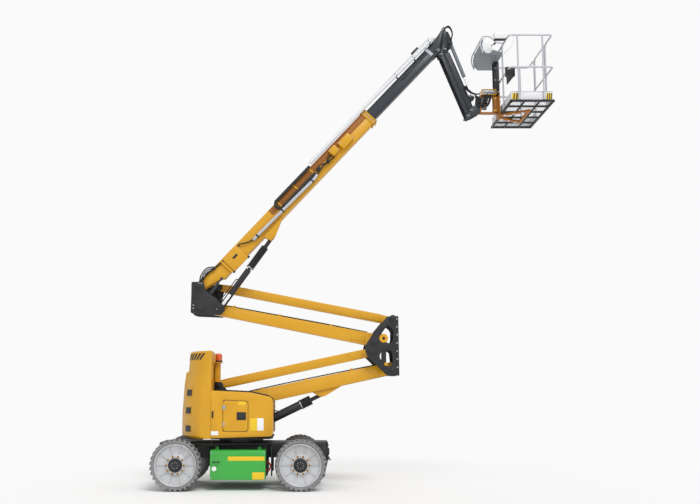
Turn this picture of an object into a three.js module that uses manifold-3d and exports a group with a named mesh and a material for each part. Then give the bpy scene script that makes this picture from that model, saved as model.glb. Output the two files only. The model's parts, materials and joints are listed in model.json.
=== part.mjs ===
// Articulating boom lift on four wheels: two-stage articulating tower, telescopic boom, jib and platform.
// Millimetres. X points forward from the slew axis, Y to the machine's left, Z up.
// Heights are written from a datum that lies a little under the ground: see groundLevel.
// The whole model is moved at the end, so that its origin is the centre of its footprint on the ground.
import * as THREE from "three";
import { mergeVertices } from "three/addons/utils/BufferGeometryUtils.js";
import Module from "manifold-3d";

const wasm = await Module();
wasm.setup();

// ---------------------------------------------------------------- driving dimensions
const degree = Math.PI / 180;
const seam = 0.3; // gap between pieces that are bolted or welded together
const play = 1.8; // radial clearance of a pin in its bore, which is a twelve-sided hole
const swingGap = 6; // gap between pieces that move past each other

// Wheels and axles
const groundLevel = 44;
const wheelbase = 2000;
const overallWidth = 1700; // over the tyres
const wheelDiameter = 820;
const tyreWidth = 290;
const rimDiameter = 676;
const kingpinY = 500;
const steerArm = 150;
const axleHeight = 170;
const spindleRadius = 40;

// Chassis
const chassisTop = 790;
const chassisBottom = 250;
const chassisRear = -1330;
const chassisFront = 1440;
const chassisHalfWidth = 400;
const chassisNoseHalfWidth = 300;
const batteryBox = { rear: -450, front: 440, outer: 750, bottom: 219, top: 691 };

// Turret
const deckBottom = 862;
const deckThickness = 18;
const slewRadius = 350;
const hood = { rear: -445, front: 556, inner: 285, outer: 790, topRear: 1642, topFront: 1536, wall: 8 };
const tail = { radius: 1000, inner: 285, outer: 790, top: 2290, shoulder: 1950, sill: 1740 };
const plateGap = 230; // half the gap between the elbow plates, and between the riser plates
const plateThickness = 20;

// Articulating tower: a lower and an upper four-bar, which mirror each other
const towerAngle = 12 * degree;
const upperAngle = 11 * degree;
const lowerArmLength = 2670;
const upperArmLength = 3024;
const armFoot = { x: -39, z: 1420 };
const lowerLinkOffset = { x: -360, z: 320 };
const elbowOffset = { x: -306, z: 473 };
const upperLinkOffset = { x: 309, z: 411 };
const armWidth = 180;
const armWall = 8;
const upperLinkY = 165;
const upperLinkWidth = 110;

// Boom
const boomAngle = 46.9 * degree;
const boomPivotOffset = { x: -25, z: 374 };
const boomY = -60;
const boomWidth = 190;
const boomDepth = 274;
const boomDrop = 65; // the pivot lies this far above the boom's centre line
const outerStart = 400;
const outerEnd = 4250;
const flyWidth = 156;
const flyDepth = 206;
const flyTail = 2060;
const tipPivot = { s: 5988, n: -139 };
const boomCylinderY = -155;

// Jib and platform
const jibAngle = -68.6 * degree;
const jibLength = 1218;
const jibFoot = { x: 131, z: 29 }; // from the tip pivot
const jibLinkOffset = { x: -70, z: -115 };
const rotatorReach = 434; // from the jib's end pivot to the rotator's axis
const platform = { length: 750, width: 1400, floorZ: -36, railHeight: 1145, midRail: 575, reach: 84 };
const railRadius = 16;

// ---------------------------------------------------------------- colours
const finishes = {
  yellow: { color: 0xd9a520, roughness: 0.4, metalness: 0.1 },
  green: { color: 0x4cb64a, roughness: 0.45, metalness: 0.1 },
  darkGrey: { color: 0x3b3c41, roughness: 0.5, metalness: 0.3 },
  slate: { color: 0x3a424d, roughness: 0.45, metalness: 0.3 },
  black: { color: 0x1b1c1e, roughness: 0.6, metalness: 0.1 },
  steel: { color: 0xa8adb3, roughness: 0.3, metalness: 0.8 },
  rim: { color: 0xc4c6cc, roughness: 0.4, metalness: 0.4 },
  tyre: { color: 0x8e8c88, roughness: 0.9, metalness: 0 },
  white: { color: 0xe4e6e8, roughness: 0.4, metalness: 0.1 },
  amber: { color: 0xd9541e, roughness: 0.2, metalness: 0 },
  console: { color: 0x737b86, roughness: 0.5, metalness: 0.1 },
};

// ---------------------------------------------------------------- solids
// A geometry as a solid: shared vertices are merged, flat triangles dropped and the faces turned outwards.
function solid(geometry) {
  const source = geometry.index ? geometry.toNonIndexed() : geometry;
  const bare = new THREE.BufferGeometry().setAttribute("position", source.getAttribute("position"));
  const merged = mergeVertices(bare, 1e-3);
  const triangles = [];
  for (let i = 0; i < merged.index.count; i += 3) {
    const [a, b, c] = [0, 1, 2].map((k) => merged.index.getX(i + k));
    if (a !== b && b !== c && c !== a) triangles.push(a, b, c);
  }
  const vertProperties = merged.attributes.position.array;
  const make = (triVerts) => new wasm.Manifold(new wasm.Mesh({ numProp: 3, vertProperties, triVerts }));
  const made = make(new Uint32Array(triangles));
  return made.volume() < 0 ? make(new Uint32Array(triangles.reverse())) : made;
}

const join = (...solids) => solids.reduce((whole, next) => whole.add(next));
const cut = (whole, ...tools) => tools.reduce((left, tool) => left.subtract(tool), whole);

function box(x0, x1, y0, y1, z0, z1) {
  const geometry = new THREE.BoxGeometry(x1 - x0, y1 - y0, z1 - z0);
  return solid(geometry.translate((x0 + x1) / 2, (y0 + y1) / 2, (z0 + z1) / 2));
}

// An outline through points, each corner rounded by the radius given as the point's third number,
// or by what its shorter edge leaves room for. It always runs anticlockwise.
function outline(corners) {
  const clockwise = THREE.ShapeUtils.area(corners.map(([u, v]) => new THREE.Vector2(u, v))) < 0;
  const points = clockwise ? [...corners].reverse() : corners;
  const shape = new THREE.Shape();
  const count = points.length;
  points.forEach(([u, v, radius = 0], i) => {
    const before = new THREE.Vector2(...points[(i + count - 1) % count]);
    const after = new THREE.Vector2(...points[(i + 1) % count]);
    const corner = new THREE.Vector2(u, v);
    const room = 0.49 * Math.min(before.distanceTo(corner), after.distanceTo(corner));
    const reach = Math.min(radius, room);
    const start = corner.clone().add(before.sub(corner).setLength(reach));
    const end = corner.clone().add(after.sub(corner).setLength(reach));
    if (i === 0) shape.moveTo(start.x, start.y);
    else shape.lineTo(start.x, start.y);
    if (radius > 0) shape.quadraticCurveTo(u, v, end.x, end.y);
  });
  shape.closePath();
  return shape;
}

// Plates: an outline in the plane across the axis, extruded from one coordinate to another along it.
const bases = {
  x: [[0, 1, 0], [0, 0, 1], [1, 0, 0]],
  y: [[1, 0, 0], [0, 0, 1], [0, -1, 0]],
  z: [[1, 0, 0], [0, 1, 0], [0, 0, 1]],
};

function plate(axis, shape, from, to, curveSegments = 1) {
  const drawn = shape instanceof THREE.Shape ? shape : outline(shape);
  const geometry = new THREE.ExtrudeGeometry(drawn, { depth: to - from, bevelEnabled: false, curveSegments });
  const basis = new THREE.Matrix4().makeBasis(...bases[axis].map((v) => new THREE.Vector3(...v)));
  geometry.applyMatrix4(basis);
  const shift = { x: [from, 0, 0], y: [0, to, 0], z: [0, 0, from] }[axis];
  return solid(geometry.translate(...shift));
}

// A round bar between two points.
function bar(from, to, radius, sides = 12) {
  const [a, b] = [new THREE.Vector3(...from), new THREE.Vector3(...to)];
  const along = b.clone().sub(a);
  const geometry = new THREE.CylinderGeometry(radius, radius, along.length(), sides);
  const turn = new THREE.Quaternion().setFromUnitVectors(new THREE.Vector3(0, 1, 0), along.clone().normalize());
  return solid(geometry.applyQuaternion(turn).translate(...a.add(b).multiplyScalar(0.5).toArray()));
}

const pin = (x, z, radius, y0, y1, sides = 12) => bar([x, y0, z], [x, y1, z], radius, sides);

// A tube through the points, as straight bars that run a little into each other at the bends.
function railing(points, radius, sides = 6) {
  return join(...points.slice(1).map((point, i) => {
    const [a, b] = [new THREE.Vector3(...points[i]), new THREE.Vector3(...point)];
    const overrun = b.clone().sub(a).setLength(radius / 2);
    return bar(a.sub(overrun).toArray(), b.add(overrun).toArray(), radius, sides);
  }));
}

// A ring or disc turned about the Y axis from (radius, y) points.
function turned(profile, sides = 40) {
  const points = [...profile, profile[0]].map(([radius, y]) => new THREE.Vector2(radius, y));
  return solid(new THREE.LatheGeometry(points, sides));
}

// A box tube along X that tapers from one end to the other, open at both ends.
// Each end is [x, bottom, top].
function taperedTube([x0, bottom0, top0], [x1, bottom1, top1], y0, y1, wall) {
  const skin = [[x0, bottom0], [x1, bottom1], [x1, top1], [x0, top0]];
  const reach = wall; // the bore runs past both ends
  const slopeLow = (bottom1 - bottom0) / (x1 - x0);
  const slopeHigh = (top1 - top0) / (x1 - x0);
  const bore = [
    [x0 - reach, bottom0 + wall - slopeLow * reach],
    [x1 + reach, bottom1 + wall + slopeLow * reach],
    [x1 + reach, top1 - wall + slopeHigh * reach],
    [x0 - reach, top0 - wall - slopeHigh * reach],
  ];
  return cut(plate("y", skin, y0, y1), plate("y", bore, y0 + wall, y1 - wall));
}

// ---------------------------------------------------------------- the assembly
const model = new THREE.Group();
const pivots = {};

// A moving body: a group at its pivot, sloped so that its own X runs along it, nested under its carrier.
function body(carrier, name, { x, z, y = 0 }, slope = 0) {
  const group = new THREE.Group();
  group.position.set(x, y, z);
  group.rotation.y = -slope;
  model.add(group);
  if (carrier) carrier.attach(group);
  pivots[name] = group;
  return group;
}

// One named sub-part with a material of its own.
function part(parent, name, shape, finish) {
  const mesh = shape.getMesh();
  const geometry = new THREE.BufferGeometry();
  geometry.setAttribute("position", new THREE.BufferAttribute(new Float32Array(mesh.vertProperties), 3));
  geometry.setIndex(new THREE.BufferAttribute(new Uint32Array(mesh.triVerts), 1));
  geometry.computeVertexNormals();
  const material = new THREE.MeshStandardMaterial({ ...finishes[finish], flatShading: true });
  const node = new THREE.Mesh(geometry, material);
  node.name = name;
  parent.add(node);
  return node;
}

const sum = (a, b) => ({ x: a.x + b.x, z: a.z + b.z });
const polar = (length, angle) => ({ x: length * Math.cos(angle), z: length * Math.sin(angle) });
const away = (a, b) => Math.hypot(b.x - a.x, b.z - a.z);
const slopeOf = (a, b) => Math.atan2(b.z - a.z, b.x - a.x);
// A point given along a slope and across it, from an origin.
const onSlope = (origin, angle, s, n) => sum(origin, sum(polar(s, angle), polar(n, angle + Math.PI / 2)));

// Pivots of the tower, boom and jib as it stands
const linkFoot = sum(armFoot, lowerLinkOffset);
const elbowLow = sum(armFoot, polar(lowerArmLength, towerAngle));
const elbowLink = sum(elbowLow, lowerLinkOffset);
const elbowHigh = sum(elbowLow, elbowOffset);
const elbowTopLink = sum(elbowHigh, upperLinkOffset);
const riserLow = sum(elbowHigh, polar(upperArmLength, Math.PI - upperAngle));
const riserLink = sum(riserLow, upperLinkOffset);
const boomFoot = sum(riserLow, boomPivotOffset);
const boomCylinderFoot = sum(riserLow, { x: 335, z: 20 });
const tipAt = onSlope(boomFoot, boomAngle, tipPivot.s, tipPivot.n);
const jibTop = sum(tipAt, jibFoot);
const jibEnd = sum(jibTop, polar(jibLength, jibAngle));

// ---------------------------------------------------------------- chassis
const wheelRadius = wheelDiameter / 2;
const axleZ = groundLevel + wheelRadius;
const wheelX = wheelbase / 2;
const wheelCentreY = (overallWidth - tyreWidth) / 2;
const tyreInnerY = overallWidth / 2 - tyreWidth;
const axleTop = axleZ + axleHeight / 2;
const axleBottom = axleZ - axleHeight / 2;
const chassis = body(null, "chassis", { x: 0, z: 0 });

function chassisFrame() {
  const arch = axleTop + seam;
  const bayEnd = batteryBox.rear - 20;
  const bayFront = batteryBox.front + 20;
  const middle = box(bayEnd, bayFront, -chassisHalfWidth, chassisHalfWidth, chassisBottom, chassisTop - 60);
  const tailBeam = box(chassisRear, bayEnd + 1, -chassisHalfWidth - 40, chassisHalfWidth + 40, arch, chassisTop - 60);
  const nose = box(bayFront - 1, chassisFront, -chassisNoseHalfWidth, chassisNoseHalfWidth, arch, chassisTop - 60);
  const top = plate("z", [
    [chassisRear, -chassisHalfWidth, 40], [bayEnd, -chassisHalfWidth - 40], [bayFront, -chassisHalfWidth],
    [bayFront + 60, -chassisNoseHalfWidth], [chassisFront, -chassisNoseHalfWidth, 20],
    [chassisFront, chassisNoseHalfWidth, 20], [bayFront + 60, chassisNoseHalfWidth],
    [bayFront, chassisHalfWidth], [bayEnd, chassisHalfWidth + 40], [chassisRear, chassisHalfWidth, 40],
  ], chassisTop - 61, chassisTop);
  return join(middle, tailBeam, nose, top);
}

function frontGuard() {
  const face = chassisFront + seam;
  const bumper = box(face, face + 22, -chassisNoseHalfWidth, chassisNoseHalfWidth, 480, chassisTop);
  const hook = (y) => plate("y", [[face + 20, 560], [face + 46, 580, 8], [face + 46, 690, 8], [face + 20, 700]], y, y + 12);
  const leg = (y) => bar([face + 11, y, 500], [face - 50, y, 215], 11, 8);
  return join(bumper, hook(-260), hook(248), leg(-270), leg(270));
}

function batterySideBox(side) {
  const { rear, front, outer, bottom, top } = batteryBox;
  const inner = chassisHalfWidth + seam;
  const chamfer = 28;
  const shell = plate("x", [
    [side * inner, bottom], [side * outer, bottom, 6], [side * outer, top - chamfer], [side * (outer - chamfer), top],
    [side * inner, top],
  ], rear, front);
  const eye = (x) => join(
    box(x - 14, x + 14, side > 0 ? 600 : -612, side > 0 ? 612 : -600, top - 1, top + 28),
  );
  return join(shell, eye(rear + 100), eye(front - 100));
}

function rearAxle() {
  const drum = tyreInnerY + 60;
  const drumInner = chassisHalfWidth + 50;
  const beam = box(-wheelX - 90, -wheelX + 90, -drumInner - 1, drumInner + 1, axleBottom, axleTop);
  const drums = [[-drum, -drumInner], [drumInner, drum]].map(([y0, y1]) => pin(-wheelX, axleZ, 120, y0, y1, 20));
  const spindle = pin(-wheelX, axleZ, spindleRadius, -wheelCentreY - 30, wheelCentreY + 30);
  return join(beam, ...drums, spindle);
}

function frontAxle() {
  const yokeX = 60;
  const beam = box(wheelX - 80, wheelX + 80, -kingpinY + 120, kingpinY - 120, axleBottom, axleTop);
  const yokes = [-1, 1].flatMap((side) => [[axleBottom, axleBottom + 22], [axleTop - 22, axleTop]].map(([z0, z1]) => {
    const [y0, y1] = [side * (kingpinY - 121), side * (kingpinY + 40)].sort((a, b) => a - b);
    return box(wheelX - yokeX, wheelX + yokeX, y0, y1, z0, z1);
  }));
  const pins = [-1, 1].map((side) => bar([wheelX, side * kingpinY, axleBottom], [wheelX, side * kingpinY, axleTop], 20));
  return join(beam, ...yokes, ...pins);
}

// A ring of the slewing bearing, turned about the vertical axis.
function bearingRing(outer, inner, z0, z1) {
  const ring = turned([[inner, z0], [outer, z0], [outer, z1], [inner, z1]], 28);
  return ring.rotate([90, 0, 0]);
}

part(chassis, "chassis_frame", chassisFrame(), "black");
part(chassis, "front_guard", frontGuard(), "darkGrey");
part(chassis, "battery_box_right", batterySideBox(-1), "green");
part(chassis, "battery_box_left", batterySideBox(1), "green");
part(chassis, "rear_axle", rearAxle(), "darkGrey");
part(chassis, "front_axle", frontAxle(), "darkGrey");
part(chassis, "slew_ring", bearingRing(slewRadius, 220, chassisTop + seam, chassisTop + 48), "steel");

// ---------------------------------------------------------------- steering
const sides = [["right", -1], ["left", 1]];
const knuckles = Object.fromEntries(sides.map(([name, side]) => {
  const knuckle = body(chassis, "knuckle_" + name, { x: wheelX, y: side * kingpinY, z: axleZ });
  const gap = 3;
  const half = axleHeight / 2 - 22 - gap;
  const post = bar([0, 0, -half], [0, 0, half], 44, 12);
  const spindle = bar([0, 0, 0], [0, side * (wheelCentreY + 30 - kingpinY), 0], spindleRadius, 12);
  const arm = plate("z", [
    [20, -20], [-steerArm + 10, -22, 6], [-steerArm - 24, 0, 12], [-steerArm + 10, 22, 6], [20, 20],
  ], -50, -30);
  const bore = bar([0, 0, -axleHeight], [0, 0, axleHeight], 20 + play);
  part(knuckle, "knuckle_" + name, cut(join(post, spindle, arm), bore), "darkGrey");
  return [name, knuckle];
}));

const tieRod = body(knuckles.left, "tie_rod", { x: wheelX - steerArm, y: kingpinY, z: axleZ });
function tieRodBar() {
  const z = -10;
  const span = 2 * kingpinY;
  const eyes = [0, -span].map((y) => bar([0, y, z - 12], [0, y, z + 12], 24, 12));
  return join(bar([0, 0, z], [0, -span, z], 13, 12), ...eyes);
}
part(tieRod, "tie_rod", tieRodBar(), "darkGrey");

// ---------------------------------------------------------------- wheels
const wheelFacets = 20;

function tyreRing() {
  const r = wheelRadius;
  const w = tyreWidth / 2;
  const seat = rimDiameter / 2 + seam;
  return turned([
    [seat, -w + 22], [r - 12, -w], [r, -w + 14], [r, w - 14], [r - 12, w], [seat, w - 22],
  ], wheelFacets);
}

// The rim and its hub, outer side towards +Y, bored from its inner side for the spindle.
function rimAndHub() {
  const r = rimDiameter / 2;
  const w = tyreWidth / 2 - 20;
  const bore = spindleRadius + play;
  const blind = 34;
  return turned([
    [0.01, blind], [bore, blind], [bore, -20], [110, -20], [110, 40], [r - 22, 62], [r - 22, -w], [r, -w], [r, w],
    [r - 22, 84], [112, 60], [112, 96], [96, 124], [0.01, 124],
  ], wheelFacets);
}

const hubProfile = rimAndHub();
const tyreProfile = tyreRing();
for (const [end, x] of [["front", wheelX], ["rear", -wheelX]]) {
  for (const [name, side] of sides) {
    const carrier = end === "front" ? knuckles[name] : chassis;
    const wheel = body(carrier, "wheel_" + end + "_" + name, { x, y: side * wheelCentreY, z: axleZ });
    const face = side > 0 ? [0, 0, 0] : [180, 0, 0];
    part(wheel, "tyre_" + end + "_" + name, tyreProfile.rotate(face), "tyre");
    part(wheel, "rim_" + end + "_" + name, hubProfile.rotate(face), "rim");
  }
}

// ---------------------------------------------------------------- turret
const turret = body(chassis, "turret", { x: 0, z: 0 });
const deckTop = deckBottom + deckThickness;
const cheekInner = armWidth / 2 + 20;
const cheekOuter = cheekInner + plateThickness;
const pinRadius = 35;
const towerCylinderFoot = { x: 70, z: 950 };

function turretFrame() {
  const deck = plate("z", [
    [hood.rear, -760, 20], [400, -760, 60], [548, -640, 60], [548, 640, 60], [400, 760, 60], [hood.rear, 760, 20],
  ], deckBottom, deckTop);
  const ring = bearingRing(slewRadius - 10, 230, chassisTop + 54, deckBottom + 1);
  const outlinePoints = [
    [-500, deckTop - 1], [-505, 1660, 60], [linkFoot.x - 70, linkFoot.z + 75, 60], [linkFoot.x + 75, linkFoot.z + 75, 60],
    [linkFoot.x + 110, 1640, 60], [armFoot.x + 20, armFoot.z + 85, 40], [armFoot.x + 95, armFoot.z + 30, 40],
    [armFoot.x + 95, armFoot.z - 60, 40], [190, 1010, 60], [210, deckTop - 1],
  ];
  const cheek = (y0, y1) => plate("y", outlinePoints, y0, y1);
  const cheeks = [cheek(-cheekOuter, -cheekInner), cheek(cheekInner, cheekOuter)];
  const pinsAcross = [armFoot, linkFoot, towerCylinderFoot].map(({ x, z }) => (
    pin(x, z, pinRadius, -cheekOuter - 15, cheekOuter + 15)
  ));
  const rearSill = box(-505, hood.rear + 1, -cheekOuter, cheekOuter, deckBottom, deckTop);
  return join(deck, ring, rearSill, ...cheeks, ...pinsAcross);
}

// The tail's outer surface, turned about the slew axis, as (radius, height) points.
const tailFacets = 44;
function tailSurface(points) {
  const [bottom, top] = [points[0][1], points[points.length - 1][1]];
  return turned([[1, bottom], ...points, [1, top]], tailFacets).rotate([90, 0, 0]);
}

// One side of the tail: a tall lobe that bulges below and narrows above the hood's height.
function tailLobe() {
  const { inner, outer, top } = tail;
  const surface = tailSurface([
    [940, deckBottom + 6], [tail.radius, 905], [tail.radius, 1250], [985, 1600], [960, 1780], [918, 2000],
    [905, top - 30], [875, top],
  ]);
  const slab = box(-1100, hood.rear - seam, inner, outer, deckBottom, top + 1);
  return surface.intersect(slab);
}

// The weight between the lobes, with a thin back shell above its sill that the riser stows against.
function tailCentre() {
  const half = tail.inner - seam;
  const weight = tailSurface([[940, deckBottom + 6], [tail.radius, 905], [tail.radius, 1250], [972, tail.sill]]);
  const shell = tailSurface([[972, tail.sill - 1], [944, tail.shoulder]]);
  const shellFront = -878;
  return join(
    weight.intersect(box(-1100, -505 - seam, -half, half, deckBottom, tail.sill + 1)),
    shell.intersect(box(-1100, shellFront, -half, half, tail.sill - 1, tail.shoulder + 1)),
  );
}

// A hood over one side of the turret: a hollow cover, open below and towards the tower.
function hoodCover(side) {
  const { rear, front, inner, outer, topRear, topFront, wall } = hood;
  const base = deckTop + seam;
  const profile = (grow) => [
    [rear - grow, base + (grow < 0 ? -wall : 0)], [front + grow, base + (grow < 0 ? -wall : 30), grow < 0 ? 0 : 30],
    [front + grow, topFront - 60, 40], [front - 40, topFront + grow, 20], [200, topRear - 34 + grow],
    [rear - grow, topRear + grow],
  ];
  const [a, b] = side > 0 ? [inner, outer] : [-outer, -inner];
  const [c, d] = side > 0 ? [inner - 1, outer - wall] : [-outer + wall, -inner + 1];
  const skin = plate("y", profile(0), a, b);
  const hollow = plate("y", [
    [rear + wall, base - wall], [front - wall, base - wall], [front - wall, topFront - 60 - wall],
    [front - 40 - wall, topFront - wall], [200, topRear - 34 - wall], [rear + wall, topRear - wall],
  ], c, d);
  return cut(skin, hollow);
}

const doorway = { x0: -250, x1: 160, z0: 985, z1: 1492, radius: 30 };

function hoodWithDoorway(side) {
  const { x0, x1, z0, z1, radius } = doorway;
  const hole = [[x0, z0, radius], [x1, z0, radius], [x1, z1 - 20, radius], [x0, z1, radius]];
  const [y0, y1] = side > 0 ? [hood.outer - 40, hood.outer + 10] : [-hood.outer - 10, -hood.outer + 40];
  return cut(hoodCover(side), plate("y", hole, y0, y1));
}

// The leaf lies flush in the doorway and turns about barrels that stand proud of the hood.
const hingeProud = 6;
function hoodDoor(side) {
  const { x0, x1, z0, z1, radius } = doorway;
  const gap = 5;
  const [width, height] = [x1 - x0 - gap, z1 - z0 - gap];
  const leaf = [[gap, gap, radius], [width, gap, radius], [width, height - 20, radius], [gap, height, radius]];
  const between = (a, b) => [Math.min(-side * a, -side * b), Math.max(-side * a, -side * b)];
  const hinges = [120, 440].map((z) => join(
    box(gap - 1, gap + 40, ...between(0, hingeProud), z - 25, z + 25),
    bar([0, 0, z - 28], [0, 0, z + 28], 5, 10),
  ));
  return join(plate("y", leaf, ...between(hingeProud, hingeProud + hood.wall)), ...hinges);
}

// The bracket stands on the tail's front face, inwards of the hood, and its shelf carries the lamp.
const lamp = { x: -366, y: -330, bracketLow: 1785, shelf: 2100, radius: 60 };
function beaconMast() {
  const [rear, front] = [hood.rear, lamp.x + lamp.radius + 4];
  const web = box(rear, lamp.x + 30, lamp.y, -tail.inner, lamp.bracketLow, lamp.shelf + 1);
  const shelf = box(rear, front, lamp.y - lamp.radius - 4, -tail.inner, lamp.shelf, lamp.shelf + 12);
  return join(web, shelf);
}

function beaconLamp() {
  const foot = lamp.shelf + 12 + seam;
  const base = bar([lamp.x, lamp.y, foot], [lamp.x, lamp.y, foot + 24], lamp.radius, 20);
  const lens = bar([lamp.x, lamp.y, foot + 23], [lamp.x, lamp.y, foot + 156], lamp.radius - 4, 20);
  return join(base, lens);
}

// Pump, motor and tank under the left hood, as one plain block.
function powerUnit() {
  return box(-330, 420, 330, 700, deckTop + seam, 1330);
}

part(turret, "turret_frame", turretFrame(), "darkGrey");
part(turret, "counterweight", tailCentre(), "yellow");
part(turret, "tail_weight_left", tailLobe(), "yellow");
part(turret, "tail_weight_right", tailLobe().mirror([0, 1, 0]), "yellow");
part(turret, "hood_right", hoodWithDoorway(-1), "yellow");
part(turret, "hood_left", hoodWithDoorway(1), "yellow");
part(turret, "beacon_mast", beaconMast(), "yellow");
part(turret, "beacon", beaconLamp(), "amber");
part(turret, "power_unit", powerUnit(), "darkGrey");
for (const [name, side] of sides) {
  const door = body(turret, "hood_door_" + name, { x: doorway.x0, y: side * (hood.outer + hingeProud), z: doorway.z0 });
  part(door, "hood_door_" + name, hoodDoor(side), "yellow");
}

// ---------------------------------------------------------------- articulating tower
const eyeBore = pinRadius + play;
const armHalf = armWidth / 2;

function lowerArm() {
  const [low0, high0, low1, high1] = [-80, 165, -62, 150];
  const length = lowerArmLength;
  const over = 30; // how far the tube runs past its pins
  const tube = taperedTube([-over, low0, high0], [length + over, low1, high1], -armHalf, armHalf, armWall);
  const underside = (s) => low0 + ((low1 - low0) * (s + over)) / (length + 2 * over);
  const foot = pin(0, 0, 62, -cheekInner + swingGap, cheekInner - swingGap);
  const head = pin(length, 0, 58, -plateGap + swingGap, plateGap - swingGap);
  const [rearLap, frontLap] = [1.487912, 2.079121]; // how deep the lugs' roots sit in the tube's wall
  const root = (s, lap) => [s, underside(s) + lap];
  const lug = (y0, y1) => plate("y", [
    root(cylinderLug.s - 150, rearLap), [cylinderLug.s - 30, cylinderLug.n - 40, 30],
    [cylinderLug.s + 40, cylinderLug.n - 40, 30], root(cylinderLug.s + 367, frontLap),
  ], y0, y1);
  const lugs = [lug(-52, -36), lug(36, 52)];
  const heads = [-1, 1].map((side) => pin(cylinderLug.s, cylinderLug.n, 24, side > 0 ? 51 : -60, side > 0 ? 60 : -51));
  const bores = [0, length].map((x) => pin(x, 0, eyeBore, -300, 300));
  return cut(join(tube, foot, head, ...lugs, ...heads), ...bores);
}

// Where the tower cylinder's eye lies on the lower arm: along it and below its pin line.
const cylinderLug = { s: 1411, n: -141 };

function lowerLink() {
  const length = lowerArmLength;
  const tube = taperedTube([-30, -60, 60], [160, -75, 75], -armHalf, armHalf, armWall);
  const main = taperedTube([159, -75, 75], [length - 160, -75, 75], -armHalf, armHalf, armWall);
  const tip = taperedTube([length - 161, -75, 75], [length + 28, -60, 60], -armHalf, armHalf, armWall);
  const foot = pin(0, 0, 47, -cheekInner + swingGap, cheekInner - swingGap);
  const head = pin(length, 0, 47, -plateGap + swingGap, plateGap - swingGap);
  const bores = [0, length].map((x) => pin(x, 0, eyeBore, -300, 300));
  return cut(join(tube, main, tip, foot, head), ...bores);
}

function upperArm() {
  const length = upperArmLength;
  const tube = taperedTube([-length - 30, -34, 142], [34, -54, 163], -armHalf, armHalf, armWall);
  const bosses = [0, -length].map((x) => pin(x, 0, 54, -plateGap + swingGap, plateGap - swingGap));
  const bores = [0, -length].map((x) => pin(x, 0, eyeBore, -300, 300));
  return cut(join(tube, ...bosses), ...bores);
}

function upperLink() {
  const length = upperArmLength;
  const [y0, y1] = [upperLinkY - upperLinkWidth / 2, upperLinkY + upperLinkWidth / 2];
  const [end, middle, taper] = [56, 75, 220]; // half depths, and the length over which the ends taper
  const tube = join(
    taperedTube([-length - 34, -end, end], [-length + taper, -middle, middle], y0, y1, armWall),
    taperedTube([-length + taper - 1, -middle, middle], [1 - taper, -middle, middle], y0, y1, armWall),
    taperedTube([-taper, -middle, middle], [34, -end, end], y0, y1, armWall),
  );
  const bosses = [0, -length].map((x) => pin(x, 0, 48, y0 - 4, y1 + 4));
  const bores = [0, -length].map((x) => pin(x, 0, 30 + play, 50, 300));
  return cut(join(tube, ...bosses), ...bores);
}

// The elbow: two plates with two windows each, pinned through.
function elbow() {
  const at = (dx, dz, radius = 0) => [elbowLow.x + dx, elbowLow.z + dz, radius];
  const shape = outline([
    at(-462, 440, 20), at(-329, 641, 10), at(-95, 920, 12), at(98, 927, 8), at(101, -84, 8), at(-115, -78, 12),
    at(-437, 242, 20), at(-473, 334, 20),
  ]);
  const window = (points) => outline(points.map(([dx, dz, radius]) => at(dx, dz, radius)));
  shape.holes.push(window([[-205, 610, 30], [-84, 780, 30], [10, 700, 30], [6, 513, 30], [-28, 458, 30], [-140, 484, 40]]));
  shape.holes.push(window([[-228, 290, 30], [-161, 343, 30], [-22, 343, 30], [0, 145, 30], [-60, 52, 30], [-224, 180, 40]]));
  const cheeks = [-1, 1].map((side) => (
    plate("y", shape, side > 0 ? plateGap : -plateGap - plateThickness, side > 0 ? plateGap + plateThickness : -plateGap)
  ));
  const reach = plateGap + plateThickness;
  const pins = [elbowLow, elbowLink, elbowHigh].map(({ x, z }) => pin(x, z, pinRadius, -reach, reach));
  const topPin = pin(elbowTopLink.x, elbowTopLink.z, 30, -reach, reach);
  const back = box(elbowLow.x + 80, elbowLow.x + 92, -plateGap - 1, plateGap + 1, elbowLow.z + 20, elbowLow.z + 780);
  return join(...cheeks, ...pins, topPin, back);
}

// The riser: two plates that carry the boom's foot, joined by a rear plate and their pins.
function riser() {
  const at = (dx, dz, radius = 0) => [riserLow.x + dx, riserLow.z + dz, radius];
  const near = outline([
    at(-152, 466, 10), at(48, 464, 12), at(96, 296, 16), at(264, 190, 16), at(430, -10, 16), at(350, -108, 12),
    at(-84, -90, 12), at(-164, -66, 12),
  ]);
  const far = outline([
    at(-152, 466, 10), at(54, 466, 40), at(200, 480, 60), at(370, 480, 60), at(375, 350, 60), at(300, 200, 30),
    at(430, -10, 16), at(350, -108, 12), at(-84, -90, 12), at(-164, -66, 12),
  ]);
  const outer = plateGap + plateThickness;
  const cheeks = [plate("y", near, -outer, -plateGap), plate("y", far, plateGap, outer)];
  const back = box(riserLow.x - 160, riserLow.x - 146, -plateGap - 1, plateGap + 1, riserLow.z - 60, riserLow.z + 450);
  const lowPin = pin(riserLow.x, riserLow.z, pinRadius, -outer, outer);
  const boomPin = pin(boomFoot.x, boomFoot.z, pinRadius, -outer - 10, outer);
  const linkPin = pin(riserLink.x, riserLink.z, 30, 78, outer);
  const innerCheek = plate("y", outline([
    at(215, 340, 10), at(215, 475, 10), at(309, 475, 60), at(370, 411, 60), at(309, 345, 60),
  ]), 72, 88);
  const web = box(riserLow.x + 216, riserLow.x + 228, 74, plateGap + 1, riserLow.z + 345, riserLow.z + 470);
  const cylinderPin = pin(boomCylinderFoot.x, boomCylinderFoot.z, 24, -outer, -112);
  return join(...cheeks, back, lowPin, boomPin, linkPin, innerCheek, web, cylinderPin);
}

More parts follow.
